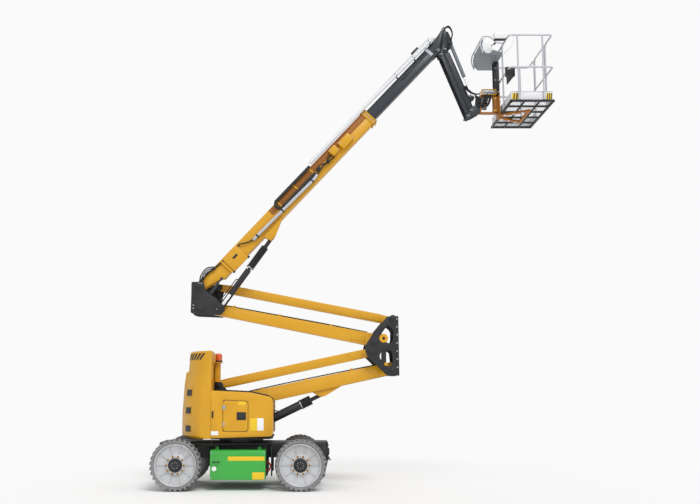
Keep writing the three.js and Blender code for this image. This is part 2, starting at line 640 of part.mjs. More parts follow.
// A hydraulic barrel along X from its foot eye at the origin, bored for its rod.
function barrel(radius, bore, start, length, eyeWidth, eyeRadius, pinHole) {
  const tube = bar([30, 0, 0], [length, 0, 0], radius, 16);
  const eye = pin(0, 0, eyeRadius, -eyeWidth / 2, eyeWidth / 2);
  const hole = bar([start, 0, 0], [length + 10, 0, 0], bore, 12);
  return cut(join(tube, eye, box(0, 40, -eyeWidth / 2, eyeWidth / 2, -20, 20)), hole, pin(0, 0, pinHole, -200, 200));
}

// A rod whose eye lies at the origin and which runs back along -X, with a boot that slides over the barrel.
function rodWithBoot(radius, length, bootInner, bootOuter, bootStart, bootEnd, eyeRadius, eyeWidth) {
  const rod = bar([-length, 0, 0], [-20, 0, 0], radius, 12);
  const eye = pin(0, 0, eyeRadius, -eyeWidth / 2, eyeWidth / 2);
  const boot = cut(
    bar([-bootStart, 0, 0], [-bootEnd, 0, 0], bootOuter, 16),
    bar([-bootStart - 1, 0, 0], [-bootEnd - 12, 0, 0], bootInner, 16),
  );
  return join(boot, rod, eye);
}

const lowerArmBody = body(turret, "lower_arm", armFoot, towerAngle);
part(lowerArmBody, "lower_arm", lowerArm(), "yellow");
const lowerLinkBody = body(turret, "lower_link", linkFoot, towerAngle);
part(lowerLinkBody, "lower_link", lowerLink(), "yellow");
const elbowBody = body(lowerArmBody, "elbow", elbowLow);
const upperArmBody = body(elbowBody, "upper_arm", elbowHigh, -upperAngle);
part(upperArmBody, "upper_arm", upperArm(), "yellow");
const upperLinkBody = body(elbowBody, "upper_link", elbowTopLink, -upperAngle);
part(upperLinkBody, "upper_link", upperLink(), "yellow");
const riserBody = body(upperArmBody, "riser", riserLow);

// A shape drawn in the model's own frame, moved into the frame of a level body.
const local = (shape, { x, z }, y = 0) => shape.translate([-x, -y, -z]);
part(elbowBody, "elbow_bracket", local(elbow(), elbowLow), "darkGrey");
part(riserBody, "riser_bracket", local(riser(), riserLow), "darkGrey");

const towerEye = onSlope(armFoot, towerAngle, cylinderLug.s, cylinderLug.n);
const towerLength = away(towerCylinderFoot, towerEye);
const towerSlope = slopeOf(towerCylinderFoot, towerEye);
const towerBarrel = body(turret, "tower_cylinder_barrel", towerCylinderFoot, towerSlope);
part(towerBarrel, "tower_cylinder_barrel", barrel(73, 56, 150, 1120, 90, 62, eyeBore), "darkGrey");
const towerRod = body(towerBarrel, "tower_cylinder_rod", towerEye, towerSlope);
part(towerRod, "tower_cylinder_rod", rodWithBoot(31, towerLength - 560, 76, 82, 400, 205, 30, 48), "black");

// ---------------------------------------------------------------- boom
const boomBody = body(riserBody, "main_boom", { ...boomFoot, y: boomY }, boomAngle);
const boomTop = boomDepth / 2 - boomDrop;
const boomBottom = -boomDepth / 2 - boomDrop;
const boomLug = { s: 1472, n: -310 };

function outerBoom() {
  const half = boomWidth / 2;
  const tube = taperedTube([outerStart, boomBottom, boomTop], [outerEnd, boomBottom, boomTop], -half, half, armWall);
  const collar = taperedTube([outerEnd - 60, boomBottom - 8, boomTop + 8], [outerEnd + 20, boomBottom - 8, boomTop + 8],
    -half - 8, half + 8, 16);
  const cheek = (y0, y1) => plate("y", [
    [-75, -40, 30], [-60, 60, 40], [60, 66, 30], [outerStart + 80, boomTop - 4], [outerStart + 80, boomBottom + 60, 20],
    [outerStart, boomBottom + 30, 20], [60, -70, 40],
  ], y0, y1);
  const cheeks = [cheek(-half, -half + 18), cheek(half - 18, half)];
  const boss = pin(0, 0, 60, -plateGap - boomY + swingGap, half + 40);
  const y = boomCylinderY - boomY;
  const lug = (y0, y1) => plate("y", [
    [boomLug.s - 72, boomBottom + 2], [boomLug.s - 45, boomLug.n - 30, 30], [boomLug.s + 45, boomLug.n - 30, 30],
    [boomLug.s + 395, boomBottom + 2],
  ], y0, y1);
  const shelf = box(boomLug.s - 72, boomLug.s + 395, y - 52, half - 60, boomBottom - 4, boomBottom + 3);
  const lugs = [lug(y - 52, y - 38), lug(y + 38, y + 52)];
  const heads = [pin(boomLug.s, boomLug.n, 22, y - 60, y - 51), pin(boomLug.s, boomLug.n, 22, y + 51, y + 60)];
  return cut(join(tube, collar, ...cheeks, boss, shelf, ...lugs, ...heads), pin(0, 0, eyeBore, -300, 300));
}

// The cable carrier on the boom's right side: a trough with the lower run and the supply tube.
function cableCarrier() {
  const y = -boomWidth / 2 - seam;
  const tray = box(1950, 3560, y - 12, y, -105, -95);
  const wall = box(1950, 3560, y - 6, y, -105, 60);
  const lowerRun = box(2000, 2900, y - 70, y - 5, -95, -55);
  const bend = cut(pin(2000, -10, 85, y - 70, y - 6, 24), pin(2000, -10, 45, y - 80, y + 2, 24), box(2000, 2200, y - 80, y + 2, -100, 80));
  const supply = bar([1250, y - 45, -150], [2790, y - 45, -150], 28, 12);
  const clips = [1300, 1900, 2700].map((x) => box(x - 20, x + 20, y - 45, y, -178, -122));
  const drop = box(1900, 1990, y - 12, y, -178, -95);
  return join(tray, wall, lowerRun, bend, supply, ...clips, drop);
}

part(boomBody, "boom_outer", outerBoom(), "yellow");

const flyBody = body(boomBody, "fly_boom", { ...boomFoot, y: boomY }, boomAngle);
function flyBoom() {
  const half = flyWidth / 2;
  const [low, high] = [-flyDepth / 2 - boomDrop, flyDepth / 2 - boomDrop];
  const end = tipPivot.s - 90;
  const tube = taperedTube([flyTail, low, high], [end, low, high], -half, half, armWall);
  const at = (s, n, radius = 0) => [tipPivot.s + s, tipPivot.n + n, radius];
  const cheek = (y0, y1) => plate("y", [
    at(-190, -29), at(-30, -42, 30), at(45, -40, 40), at(120, 30, 40), at(310, 60, 40), at(330, 90, 20), at(418, 222, 10),
    at(388, 232, 10), at(225, 192, 40), at(60, 182), at(-190, 176),
  ], y0, y1);
  const cheeks = [cheek(-half, -half + 14), cheek(half - 14, half)];
  const joint = pin(tipPivot.s, tipPivot.n, 26, -half, half);
  return join(tube, ...cheeks, joint);
}
part(flyBody, "fly_boom", flyBoom(), "slate");

// A tube that runs out with the fly, carrying the cables from the chain to the tip.
function flySupplyTube() {
  const y = -boomWidth / 2 - 50;
  const z = 110;
  const tube = bar([2900, y, z], [6020, y, z], 24, 12);
  const tipPost = box(5820, 5880, -flyWidth / 2 - 12, -flyWidth / 2 - seam, -120, z);
  const tipSaddle = box(5820, 5880, y - 12, -flyWidth / 2 - seam, z - 30, z + 20);
  return join(tube, tipPost, tipSaddle);
}
part(boomBody, "cable_carrier", cableCarrier(), "black");
part(flyBody, "fly_supply_tube", flySupplyTube(), "white");

const boomEye = onSlope(boomFoot, boomAngle, boomLug.s, boomLug.n);
const boomCylinderLength = away(boomCylinderFoot, boomEye);
const boomCylinderSlope = slopeOf(boomCylinderFoot, boomEye);
const boomBarrel = body(riserBody, "boom_cylinder_barrel", { ...boomCylinderFoot, y: boomCylinderY }, boomCylinderSlope);
part(boomBarrel, "boom_cylinder_barrel", barrel(52, 40, 120, 820, 80, 46, 24 + play), "darkGrey");
const boomRod = body(boomBarrel, "boom_cylinder_rod", { ...boomEye, y: boomCylinderY }, boomCylinderSlope);
part(boomRod, "boom_cylinder_rod", rodWithBoot(30, boomCylinderLength - 480, 55, 58, 640, 190, 26, 48), "black");

// ---------------------------------------------------------------- tip yoke and jib
const yokeInner = 46;
const yokeOuter = 60;
const jibHalf = 40;
const linkInner = 86;
const linkOuter = 100;
const jibPin = 22;
const yokeBody = body(flyBody, "tip_yoke", { ...tipAt, y: boomY });
const cylinderTop = { x: 109, z: 130 }; // from the jib's top pivot
const jibLug = { s: 1000, n: 126 };

function tipYoke() {
  const link = sum(jibFoot, jibLinkOffset);
  const top = sum(jibFoot, cylinderTop);
  const cheek = (y0, y1) => plate("y", [
    [-45, -20, 30], [-40, 48, 30], [60, 110, 30], [100, 320, 20], [150, 372, 20], [188, 365, 20], [top.x + 20, top.z + 30, 20],
    [top.x + 34, top.z - 34, 20], [jibFoot.x + 42, jibFoot.z - 20, 20], [jibFoot.x + 20, jibFoot.z - 42, 20],
    [link.x + 30, link.z - 34, 20], [link.x - 30, link.z - 34, 20],
  ], y0, y1);
  const cheeks = [cheek(-yokeOuter, -yokeInner), cheek(yokeInner, yokeOuter)];
  const hub = pin(0, 0, 40, -yokeOuter, yokeOuter);
  const jibJoint = pin(jibFoot.x, jibFoot.z, jibPin, -yokeOuter, yokeOuter);
  const topJoint = pin(top.x, top.z, 18, -yokeOuter, yokeOuter);
  const linkJoint = pin(link.x, link.z, 18, -linkOuter - 8, linkOuter + 8);
  return cut(join(...cheeks, hub, jibJoint, topJoint, linkJoint), pin(0, 0, 26 + play, -200, 200));
}
part(yokeBody, "tip_yoke", tipYoke(), "slate");

const jibBody = body(yokeBody, "jib_arm", { ...jibTop, y: boomY }, jibAngle);
function jibArm() {
  const tube = taperedTube([-20, -42, 42], [jibLength + 20, -42, 42], -jibHalf, jibHalf, 6);
  const bosses = [0, jibLength].map((x) => pin(x, 0, 32, -jibHalf, jibHalf));
  const lug = (y0, y1) => plate("y", [
    [jibLug.s - 90, 40], [jibLug.s - 26, jibLug.n + 26, 20], [jibLug.s + 26, jibLug.n + 26, 20], [jibLug.s + 60, 40],
  ], y0, y1);
  const lugs = [lug(-38, -28), lug(28, 38)];
  const heads = [pin(jibLug.s, jibLug.n, 16, -44, -37), pin(jibLug.s, jibLug.n, 16, 37, 44)];
  const bores = [0, jibLength].map((x) => pin(x, 0, jibPin + play, -200, 200));
  return cut(join(tube, ...bosses, ...lugs, ...heads), ...bores);
}
part(jibBody, "jib_arm", jibArm(), "slate");

for (const [name, side] of sides) {
  const foot = sum(jibTop, jibLinkOffset);
  const link = body(yokeBody, "jib_link_" + name, { ...foot, y: boomY }, jibAngle);
  const [y0, y1] = side > 0 ? [linkInner, linkOuter] : [-linkOuter, -linkInner];
  const strip = plate("y", [
    [-30, -30, 25], [jibLength + 30, -30, 25], [jibLength + 30, 30, 25], [-30, 30, 25],
  ], y0, y1);
  part(link, "jib_link_" + name, cut(strip, ...[0, jibLength].map((x) => pin(x, 0, 18 + play, -200, 200))), "black");
}

const jibCylinderTop = sum(jibTop, cylinderTop);
const jibEye = onSlope(jibTop, jibAngle, jibLug.s, jibLug.n);
const jibCylinderLength = away(jibCylinderTop, jibEye);
const jibCylinderSlope = slopeOf(jibCylinderTop, jibEye);
const jibBarrel = body(yokeBody, "jib_cylinder_barrel", { ...jibCylinderTop, y: boomY }, jibCylinderSlope);
part(jibBarrel, "jib_cylinder_barrel", barrel(32, 23, 100, 660, 70, 34, 18 + play), "slate");
const jibRod = body(jibBarrel, "jib_cylinder_rod", { ...jibEye, y: boomY }, jibCylinderSlope);
part(jibRod, "jib_cylinder_rod", join(
  bar([-jibCylinderLength + 420, 0, 0], [-10, 0, 0], 15, 16), pin(0, 0, 20, -20, 20), bar([-60, 0, 0], [-10, 0, 0], 20, 16),
), "steel");

// The jib's head: plates on the jib's lower pivots, and the arms that hold the rotator.
const headBody = body(jibBody, "jib_head", { ...jibEnd, y: boomY });
const rotatorZ = { low: -20, high: 262 };
function jibHead() {
  const link = jibLinkOffset;
  const cheek = (y0, y1) => plate("y", [
    [-34, -20, 30], [-30, 40, 30], [60, 110, 30], [150, 120, 30], [150, -40, 30], [60, -90, 40],
    [link.x + 34, link.z - 30, 20], [link.x - 30, link.z - 30, 20], [link.x - 34, link.z + 20, 20],
  ], y0, y1);
  const cheeks = [cheek(-yokeOuter, -yokeInner), cheek(yokeInner, yokeOuter)];
  const joint = pin(0, 0, jibPin, -yokeOuter, yokeOuter);
  const linkJoint = pin(link.x, link.z, 18, -linkOuter - 8, linkOuter + 8);
  const block = box(90, 150, -yokeOuter, yokeOuter, -30, 110);
  return join(...cheeks, joint, linkJoint, block);
}

function rotatorArms() {
  const start = 150 + seam;
  const arm = (z0, z1) => plate("z", [
    [start, -40], [rotatorReach, -46, 30], [rotatorReach + 46, 0, 30], [rotatorReach, 46, 30], [start, 40],
  ], z0, z1);
  const back = box(start, start + 24, -58, 58, rotatorZ.low - 10, rotatorZ.high + 24);
  const joint = bar([rotatorReach, 0, rotatorZ.low - 10], [rotatorReach, 0, rotatorZ.high + 20], 22);
  return join(arm(rotatorZ.low - 24, rotatorZ.low), arm(rotatorZ.high, rotatorZ.high + 24), back, joint);
}
part(headBody, "jib_head", jibHead(), "slate");
part(headBody, "rotator_arms", rotatorArms(), "yellow");

// ---------------------------------------------------------------- platform
const rotatorAt = sum(jibEnd, { x: rotatorReach, z: 0 });
const platformBody = body(headBody, "platform", { ...rotatorAt, y: boomY });
const floorTop = platform.floorZ;
const floorX0 = platform.reach;
const floorX1 = platform.reach + platform.length;
const halfWidth = platform.width / 2;

// The rotator's housing, the plate it turns and the two arms that reach under the floor.
function platformMount() {
  const housing = bar([0, 0, rotatorZ.low + 4], [0, 0, rotatorZ.high - 4], 50, 16);
  const bore = bar([0, 0, rotatorZ.low - 10], [0, 0, rotatorZ.high + 10], 22 + play);
  const face = box(44, 60, -92, 92, floorTop - 70, rotatorZ.high + 24);
  const arm = (side) => plate("z", [
    [46, side * 20], [46, side * 88], [floorX0 + 420, side * 330], [floorX0 + 460, side * 270],
  ], floorTop - 70, floorTop - 36 - seam);
  const cross = box(floorX0 + 400, floorX0 + 450, -330, 330, floorTop - 70, floorTop - 36 - seam);
  const saddle = box(20, 46, -50, 50, 20, 230);
  return cut(join(housing, face, saddle, arm(-1), arm(1), cross), bore);
}

function platformFloor() {
  const corner = 60;
  const edge = (x0, x1, w, radius) => [[x0, -w, radius], [x1, -w, radius], [x1, w, radius], [x0, w, radius]];
  return plate("z", edge(floorX0, floorX1, halfWidth, corner), floorTop - 36, floorTop);
}

const gateway = { y0: -290, y1: 355 };
const railInset = 4; // the rails' centre lines lie this far inside the floor's edge
function guardRails() {
  const [x0, x1, w] = [floorX0 + railInset, floorX1 - railInset, halfWidth - railInset];
  const low = floorTop + seam;
  const bend = 70;
  const loop = (z) => railing([
    [x1, gateway.y0, z], [x1, -w + bend, z], [x1 - bend, -w, z], [x0 + bend, -w, z], [x0, -w + bend, z],
    [x0, w - bend, z], [x0 + bend, w, z], [x1 - bend, w, z], [x1, w - bend, z], [x1, gateway.y1, z],
  ], railRadius);
  const top = floorTop + platform.railHeight;
  const mid = floorTop + platform.midRail;
  const posts = [
    [x0 + 146, -w], [x1 - 170, -w], [x0, -250], [x0, 250], [x0 + 146, w], [x1 - 170, w], [x1, gateway.y0], [x1, gateway.y1],
  ].map(([x, y]) => bar([x, y, low], [x, y, top], railRadius - 1, 6));
  return join(loop(top), loop(mid), ...posts);
}

// Toe boards stand inside the posts, open only at the gateway.
function toeBoard() {
  const inset = railInset + railRadius + 4;
  const [x0, x1, w] = [floorX0 + inset, floorX1 - inset, halfWidth - inset];
  const [z0, z1] = [floorTop + seam, floorTop + 160];
  const sheet = 3;
  return plate("z", [
    [x1, gateway.y0], [x1, -w], [x0, -w], [x0, w], [x1, w], [x1, gateway.y1],
    [x1 - sheet, gateway.y1], [x1 - sheet, w - sheet], [x0 + sheet, w - sheet],
    [x0 + sheet, sheet - w], [x1 - sheet, sheet - w], [x1 - sheet, gateway.y0],
  ], z0, z1);
}

function platformGate() {
  const span = gateway.y1 - gateway.y0;
  const clear = 2 * railRadius + 4;
  const rails = [platform.midRail, platform.railHeight].map((z) => (
    bar([0, clear - railRadius, z - platform.midRail], [0, span - clear, z - platform.midRail], railRadius - 2, 8)
  ));
  const rise = platform.railHeight - platform.midRail;
  const uprights = [clear, span - clear].map((y) => bar([0, y, -railRadius], [0, y, rise + railRadius], railRadius - 2, 8));
  return join(...rails, ...uprights);
}

const consoleBottom = 900;

// Two posts behind the mount's plate, which widen above the rotator and carry the console.
function mountPosts() {
  const [x0, x1] = [60 + seam, floorX0 + railInset - railRadius - seam];
  const top = consoleBottom - seam;
  const rotatorTop = rotatorZ.high + 24;
  const web = box(x0, x1, -66, 66, floorTop - 36, top);
  const post = (y0, y1) => box(-20, x1, y0, y1, rotatorTop + 14, top);
  return join(web, post(-66, -46), post(46, 66));
}

// The operator's console hangs outside the rail on the boom side, with its sloping top towards the platform.
function controlConsole() {
  const tongue = floorX0 + railInset - railRadius - 6;
  return plate("y", [
    [-301, 1088, 16], [-269, 1211, 20], [-184, 1199, 20], [-96, 998, 16], [tongue, 954, 8], [tongue, consoleBottom, 8],
    [-216, consoleBottom, 20], [-292, 973, 30],
  ], -360, 340);
}

part(platformBody, "platform_mount", platformMount(), "yellow");
part(platformBody, "platform_floor", platformFloor(), "black");
part(platformBody, "guard_rails", guardRails(), "white");
part(platformBody, "toe_boards", toeBoard(), "white");
part(platformBody, "mount_posts", mountPosts(), "black");
part(platformBody, "control_console", controlConsole(), "console");
const gateBody = body(platformBody, "platform_gate", {
  x: rotatorAt.x + floorX1 - railInset,
  y: boomY + gateway.y0,
  z: rotatorAt.z + floorTop + platform.midRail,
});
part(gateBody, "platform_gate", platformGate(), "white");

// ---------------------------------------------------------------- origin
// Move the model so that the centre of its bounding box, on the ground, is the origin.
model.updateMatrixWorld(true);
const bounds = new THREE.Box3().setFromObject(model, true);
const centre = bounds.getCenter(new THREE.Vector3());
model.position.set(-centre.x, -centre.y, -bounds.min.z);
model.updateMatrixWorld(true);
model.userData.pivots = Object.fromEntries(Object.entries(pivots).map(([name, group]) => (
  [name, group.getWorldPosition(new THREE.Vector3()).toArray()]
)));
model.userData.offset = model.position.toArray();

export default model;
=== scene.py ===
# %% [markdown]
# # Articulating boom lift
# A boom lift carries people in a platform at the end of a jointed arm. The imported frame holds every
# part that moves or carries load; this lesson dresses it with rubber, enamel, hoses, bolts and plates.

# %% The frame
import json
import math

import bpy
from mathutils import Matrix, Vector


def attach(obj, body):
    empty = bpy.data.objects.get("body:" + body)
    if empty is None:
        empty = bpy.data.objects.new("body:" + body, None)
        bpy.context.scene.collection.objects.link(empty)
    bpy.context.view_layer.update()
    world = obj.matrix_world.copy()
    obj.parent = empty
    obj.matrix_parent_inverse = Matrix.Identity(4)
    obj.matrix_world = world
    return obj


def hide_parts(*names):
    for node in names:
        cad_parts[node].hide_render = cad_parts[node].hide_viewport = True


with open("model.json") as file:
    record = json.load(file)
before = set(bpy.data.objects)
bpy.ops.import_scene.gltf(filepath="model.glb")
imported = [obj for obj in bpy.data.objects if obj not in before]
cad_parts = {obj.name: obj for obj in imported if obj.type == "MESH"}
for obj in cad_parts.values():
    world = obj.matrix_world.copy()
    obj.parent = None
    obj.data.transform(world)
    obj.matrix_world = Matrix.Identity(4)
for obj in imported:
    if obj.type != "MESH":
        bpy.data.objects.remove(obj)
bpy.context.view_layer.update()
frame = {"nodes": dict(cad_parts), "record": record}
bodies = frame["record"]["behaviour"]["bodies"]
body_of_node = {node: body for body, nodes in bodies.items() for node in nodes}
pivots = {j["child"]: Vector(j["pos_m"]) for j in frame["record"]["behaviour"]["joints"] if "pos_m" in j}

# %% [markdown]
# ## Camera and light
# The lift is seen from its right side, from a little above the ground and looking slightly up. The lens
# is moved sideways and up, as on a view camera, so that upright lines stay upright. The light is that
# of a white studio: a bright room, one large soft sun from the front right and no strong shadow.

# %% Camera
camera_place = pivots["turret"] + Vector((0.946, -13.8, 1.6))
camera_pitch = math.radians(6.85)
camera_data = bpy.data.cameras.new("camera")
camera_data.lens = 41.14
camera_data.shift_x = 0.0757
camera_data.shift_y = 0.0643
camera_data.clip_end = 200
camera = bpy.data.objects.new("camera", camera_data)
camera.location = camera_place
camera.rotation_euler = (math.radians(90) + camera_pitch, 0, 0)
bpy.context.collection.objects.link(camera)
bpy.context.scene.camera = camera
bpy.context.scene.view_settings.view_transform = "Standard"

# %% [markdown]
# ## Helpers for materials
# Colours are written as on a paint card, in sRGB, and one function turns them into the linear numbers
# that a shader wants. A second function adds a node with its settings and its links.


# %% Colour and nodes
def linear(card):
    """A paint card's hex colour as linear red, green, blue and an alpha of 1."""
    levels = [int(card[i:i + 2], 16) / 255 for i in (0, 2, 4)]
    return (*[v / 12.92 if v <= 0.04045 else ((v + 0.055) / 1.055) ** 2.4 for v in levels], 1)


def add(tree, kind, values=None, links=None, **settings):
    """A new node: values and links are keyed by input socket, and settings are its own properties."""
    made = tree.nodes.new(kind)
    for name, value in settings.items():
        setattr(made, name, value)
    for socket, value in (values or {}).items():
        made.inputs[socket].default_value = value
    for socket, (source, output) in (links or {}).items():
        tree.links.new(source.outputs[output], made.inputs[socket])
    return made


# %% Room light, sun and floor
world = bpy.data.worlds.new("studio")
bpy.context.scene.world = world
world.use_nodes = True
world.node_tree.nodes.clear()
room_light = 0.62
backdrop = linear("FAFAFA")
room = add(world.node_tree, "ShaderNodeBackground", {"Color": (1, 1, 1, 1), "Strength": room_light})
plain = add(world.node_tree, "ShaderNodeBackground", {"Color": backdrop, "Strength": 1})
rays = add(world.node_tree, "ShaderNodeLightPath")
seen = add(world.node_tree, "ShaderNodeMixShader",
           links={0: (rays, "Is Camera Ray"), 1: (room, 0), 2: (plain, 0)})
add(world.node_tree, "ShaderNodeOutputWorld", links={"Surface": (seen, 0)})

for name, strength, spread, turn in (
    ("key", 1.5, 25, (38, 0, 25)),
    ("fill", 0.4, 60, (62, 0, -30)),
):
    lamp_data = bpy.data.lights.new(name, "SUN")
    lamp_data.energy = strength
    lamp_data.angle = math.radians(spread)
    lamp = bpy.data.objects.new(name, lamp_data)
    lamp.rotation_euler = [math.radians(a) for a in turn]
    bpy.context.collection.objects.link(lamp)


# %% [markdown]
# ## Painted steel, rubber and plastic
# Each finish starts from its real name. The base colour varies a little over half a metre, as paint and
# dust do, and a finer pattern carries scuffs into the roughness. The height of the bump is a fraction
# of a millimetre; waves under 20 mm would be too fine to see on a machine this tall, so they are drawn
# coarser than the real orange peel.


# %% One surface recipe
def surface(name, card, dust_card, dust=0.18, rough=(0.3, 0.5), metallic=0.0, coat=0.0, grain_mm=30,
            bump_mm=0.3, ior=1.5):
    """A finish with colour drift over 600 mm and scuffs of grain_mm; dust is the most that it mixes in."""
    made = bpy.data.materials.new(name)
    made.use_nodes = True
    tree = made.node_tree
    tree.nodes.clear()
    where = add(tree, "ShaderNodeTexCoord")
    drift = add(tree, "ShaderNodeTexNoise", {"Scale": 1 / 0.6, "Detail": 5, "Roughness": 0.6},
                {"Vector": (where, "Object")})
    scuffs = add(tree, "ShaderNodeTexNoise", {"Scale": 1000 / grain_mm, "Detail": 4, "Roughness": 0.65},
                 {"Vector": (where, "Object")})
    both = add(tree, "ShaderNodeMath", links={0: (drift, "Fac"), 1: (scuffs, "Fac")}, operation="MULTIPLY")
    share = add(tree, "ShaderNodeMapRange",
                {"From Min": 0.16, "From Max": 0.42, "To Min": 0.0, "To Max": dust}, {"Value": (both, 0)})
    colour = add(tree, "ShaderNodeMix", {6: linear(card), 7: linear(dust_card)}, {0: (share, 0)},
                 data_type="RGBA")
    gloss = add(tree, "ShaderNodeMapRange",
                {"From Min": 0.3, "From Max": 0.7, "To Min": rough[0], "To Max": rough[1]},
                {"Value": (scuffs, "Fac")})
    relief = add(tree, "ShaderNodeBump", {"Strength": 0.5, "Distance": bump_mm / 1000},
                 {"Height": (scuffs, "Fac")})
    shader = add(
        tree, "ShaderNodeBsdfPrincipled",
        {"Metallic": metallic, "IOR": ior, "Coat Weight": coat, "Coat Roughness": 0.15},
        {"Base Color": (colour, 2), "Roughness": (gloss, 0), "Normal": (relief, 0)},
    )
    add(tree, "ShaderNodeOutputMaterial", links={"Surface": (shader, 0)})
    return made


# %% Finishes
finish = {
    # Two-pack polyurethane enamel, sprayed over blasted steel: smooth, with a clear gloss.
    "yellow": surface("yellow_polyurethane_enamel", "D69D08", "B4830F", 0.3, (0.34, 0.48), coat=0.08),
    # The same yellow enamel, darkened as painted shade for the shadow on the boom's side channel and on the
    # platform's fork and rotator arms.
    "shaded_yellow": surface("yellow_enamel_painted_shade", "A2620F", "7A4A14", 0.5, (0.4, 0.6)),
    "green": surface("green_polyurethane_enamel", "37AA3F", "4E8C4A", 0.3, (0.32, 0.46), coat=0.12),
    "charcoal": surface("charcoal_enamel", "1A1B1E", "313234", 0.35, (0.4, 0.6), coat=0.05),
    "slate": surface("slate_enamel", "262B33", "424850", 0.3, (0.32, 0.48), coat=0.1),
    "black": surface("black_chassis_enamel", "1D1E21", "4A4845", 0.3, (0.4, 0.6)),
    # Powder-coated steel tube: thick and even, less glossy than the sprayed enamel.
    "white": surface("white_powder_coat", "E3E5E8", "B9BBBC", 0.35, (0.35, 0.5)),
    # A pale grey tube paint, drawn darker than it is as painted shade for the shadow along the rails'
    # undersides.
    "rail": surface("pale_tube_painted_shade", "C3C5CC", "A4A6AD", 0.3, (0.3, 0.45), metallic=0.15),
    "rim": surface("silver_grey_wheel_enamel", "C6C8CC", "97958F", 0.5, (0.35, 0.5), metallic=0.1),
    # Bare and plated metal.
    "zinc": surface("zinc_plated_steel", "BFC3C6", "8F9396", 0.4, (0.25, 0.4), metallic=1.0, grain_mm=12),
    "chrome": surface("hard_chromed_steel", "D5D8DC", "C2C5C9", 0.2, (0.08, 0.16), metallic=1.0,
                      bump_mm=0.05),
    "cast": surface("machined_cast_steel", "6E7073", "4A4A4B", 0.5, (0.35, 0.6), metallic=0.8),
    # Grey tyre rubber is filled with silica in place of carbon black, so that it leaves no marks on floors.
    "tyre": surface("non_marking_grey_rubber", "8A8A8C", "6E6B66", 0.6, (0.75, 0.95), grain_mm=20,
                    bump_mm=1.2),
    "rubber": surface("black_hose_rubber", "17181A", "3A3A39", 0.25, (0.45, 0.7), grain_mm=15),
    "nylon": surface("black_glass_filled_nylon", "1A1B1D", "3C3D3F", 0.3, (0.4, 0.6), grain_mm=15),
    "abs": surface("grey_moulded_abs", "7C8288", "8F9499", 0.3, (0.4, 0.55), grain_mm=20),
    # Plain vinyl film, printed in one colour.
    "vinyl": surface("white_vinyl_film", "E9EAEA", "C9CACA", 0.2, (0.3, 0.4)),
    "yellow_vinyl": surface("yellow_vinyl_film", "E9C21F", "C9A833", 0.2, (0.3, 0.4)),
    "red_cable": surface("red_cable_sheath", "B3261E", "7C2A24", 0.2, (0.4, 0.55), grain_mm=10),
    "amber": surface("amber_polycarbonate", "D8581A", "B9480F", 0.3, (0.1, 0.2), coat=0.6, ior=1.58),
}
print(len(finish), "finishes")

# %% [markdown]
# ## Helpers for shapes
# A new primitive comes selected all over and an operator acts on all that is selected, so everything is
# deselected first. Each helper leaves its object at the origin, with its place in its mesh, as the frame's
# own nodes are. Lengths are given in millimetres, as on a drawing.

# %% Shape helpers
MM = 0.001
finished = []


def pick(piece):
    """Only this object selected, and active."""
    bpy.ops.object.select_all(action="DESELECT")
    piece.select_set(True)
    bpy.context.view_layer.objects.active = piece
    return piece


def settle(piece):
    """The object's place, turn and scale moved into its mesh."""
    pick(piece)
    bpy.ops.object.transform_apply(location=True, rotation=True, scale=True)
    return piece


def shaped(piece, kind, **settings):
    """The object with one modifier added and applied."""
    pick(piece)
    modifier = piece.modifiers.new(kind.lower(), kind)
    for name, value in settings.items():
        setattr(modifier, name, value)
    bpy.ops.object.modifier_apply(modifier=modifier.name)
    return piece


def rounded(piece, width, segments=2):
    return shaped(piece, "BEVEL", width=width * MM, segments=segments, limit_method="ANGLE",
                  angle_limit=math.radians(40))


def block(x0, x1, y0, y1, z0, z1, edge=2):
    """A bar or plate between two corners, its edges rounded."""
    bpy.ops.object.select_all(action="DESELECT")
    centre = Vector((x0 + x1, y0 + y1, z0 + z1)) * 0.5 * MM
    bpy.ops.mesh.primitive_cube_add(size=1, location=centre)
    made = bpy.context.object
    made.scale = [abs(b - a) * MM for a, b in ((x0, x1), (y0, y1), (z0, z1))]
    return rounded(settle(made), edge) if edge else settle(made)


def rod(start, end, radius, sides=20, edge=0):
    """A round bar between two points."""
    start, end = Vector(start) * MM, Vector(end) * MM
    along = end - start
    bpy.ops.object.select_all(action="DESELECT")
    bpy.ops.mesh.primitive_cylinder_add(vertices=sides, radius=radius * MM, depth=along.length,
                                        location=(start + end) / 2)
    made = bpy.context.object
    made.rotation_euler = along.to_track_quat("Z", "Y").to_euler()
    return rounded(settle(made), edge) if edge else settle(made)


def loop_of(points):
    """A closed line through points (x, y, z) in millimetres: a circle whose vertices are moved there."""
    bpy.ops.object.select_all(action="DESELECT")
    bpy.ops.mesh.primitive_circle_add(vertices=len(points), radius=1, fill_type="NOTHING")
    made = bpy.context.object
    for vertex, point in zip(made.data.vertices, points):
        vertex.co = Vector(point) * MM
    return made


def edit(piece):
    """All of an object's mesh selected, in edit mode."""
    pick(piece)
    bpy.ops.object.mode_set(mode="EDIT")
    bpy.ops.mesh.select_all(action="SELECT")


def leave():
    bpy.ops.object.mode_set(mode="OBJECT")


def leave_closed():
    """Out of edit mode, with every face turned outwards."""
    bpy.ops.mesh.select_all(action="SELECT")
    bpy.ops.mesh.normals_make_consistent(inside=False)
    leave()


def turned(profile, steps=64, about="Z"):
    """A closed profile (radius, height) spun about an axis through the origin."""
    axis = {"X": (1, 0, 0), "Y": (0, 1, 0), "Z": (0, 0, 1)}[about]
    place = {
        "X": lambda r, h: (h, r, 0),
        "Y": lambda r, h: (r, h, 0),
        "Z": lambda r, h: (r, 0, h),
    }[about]
    made = loop_of([place(r, h) for r, h in profile])
    edit(made)
    bpy.ops.mesh.spin(steps=steps, angle=2 * math.pi, center=(0, 0, 0), axis=axis)
    bpy.ops.mesh.select_all(action="SELECT")
    bpy.ops.mesh.remove_doubles(threshold=1e-5)
    leave_closed()
    return made


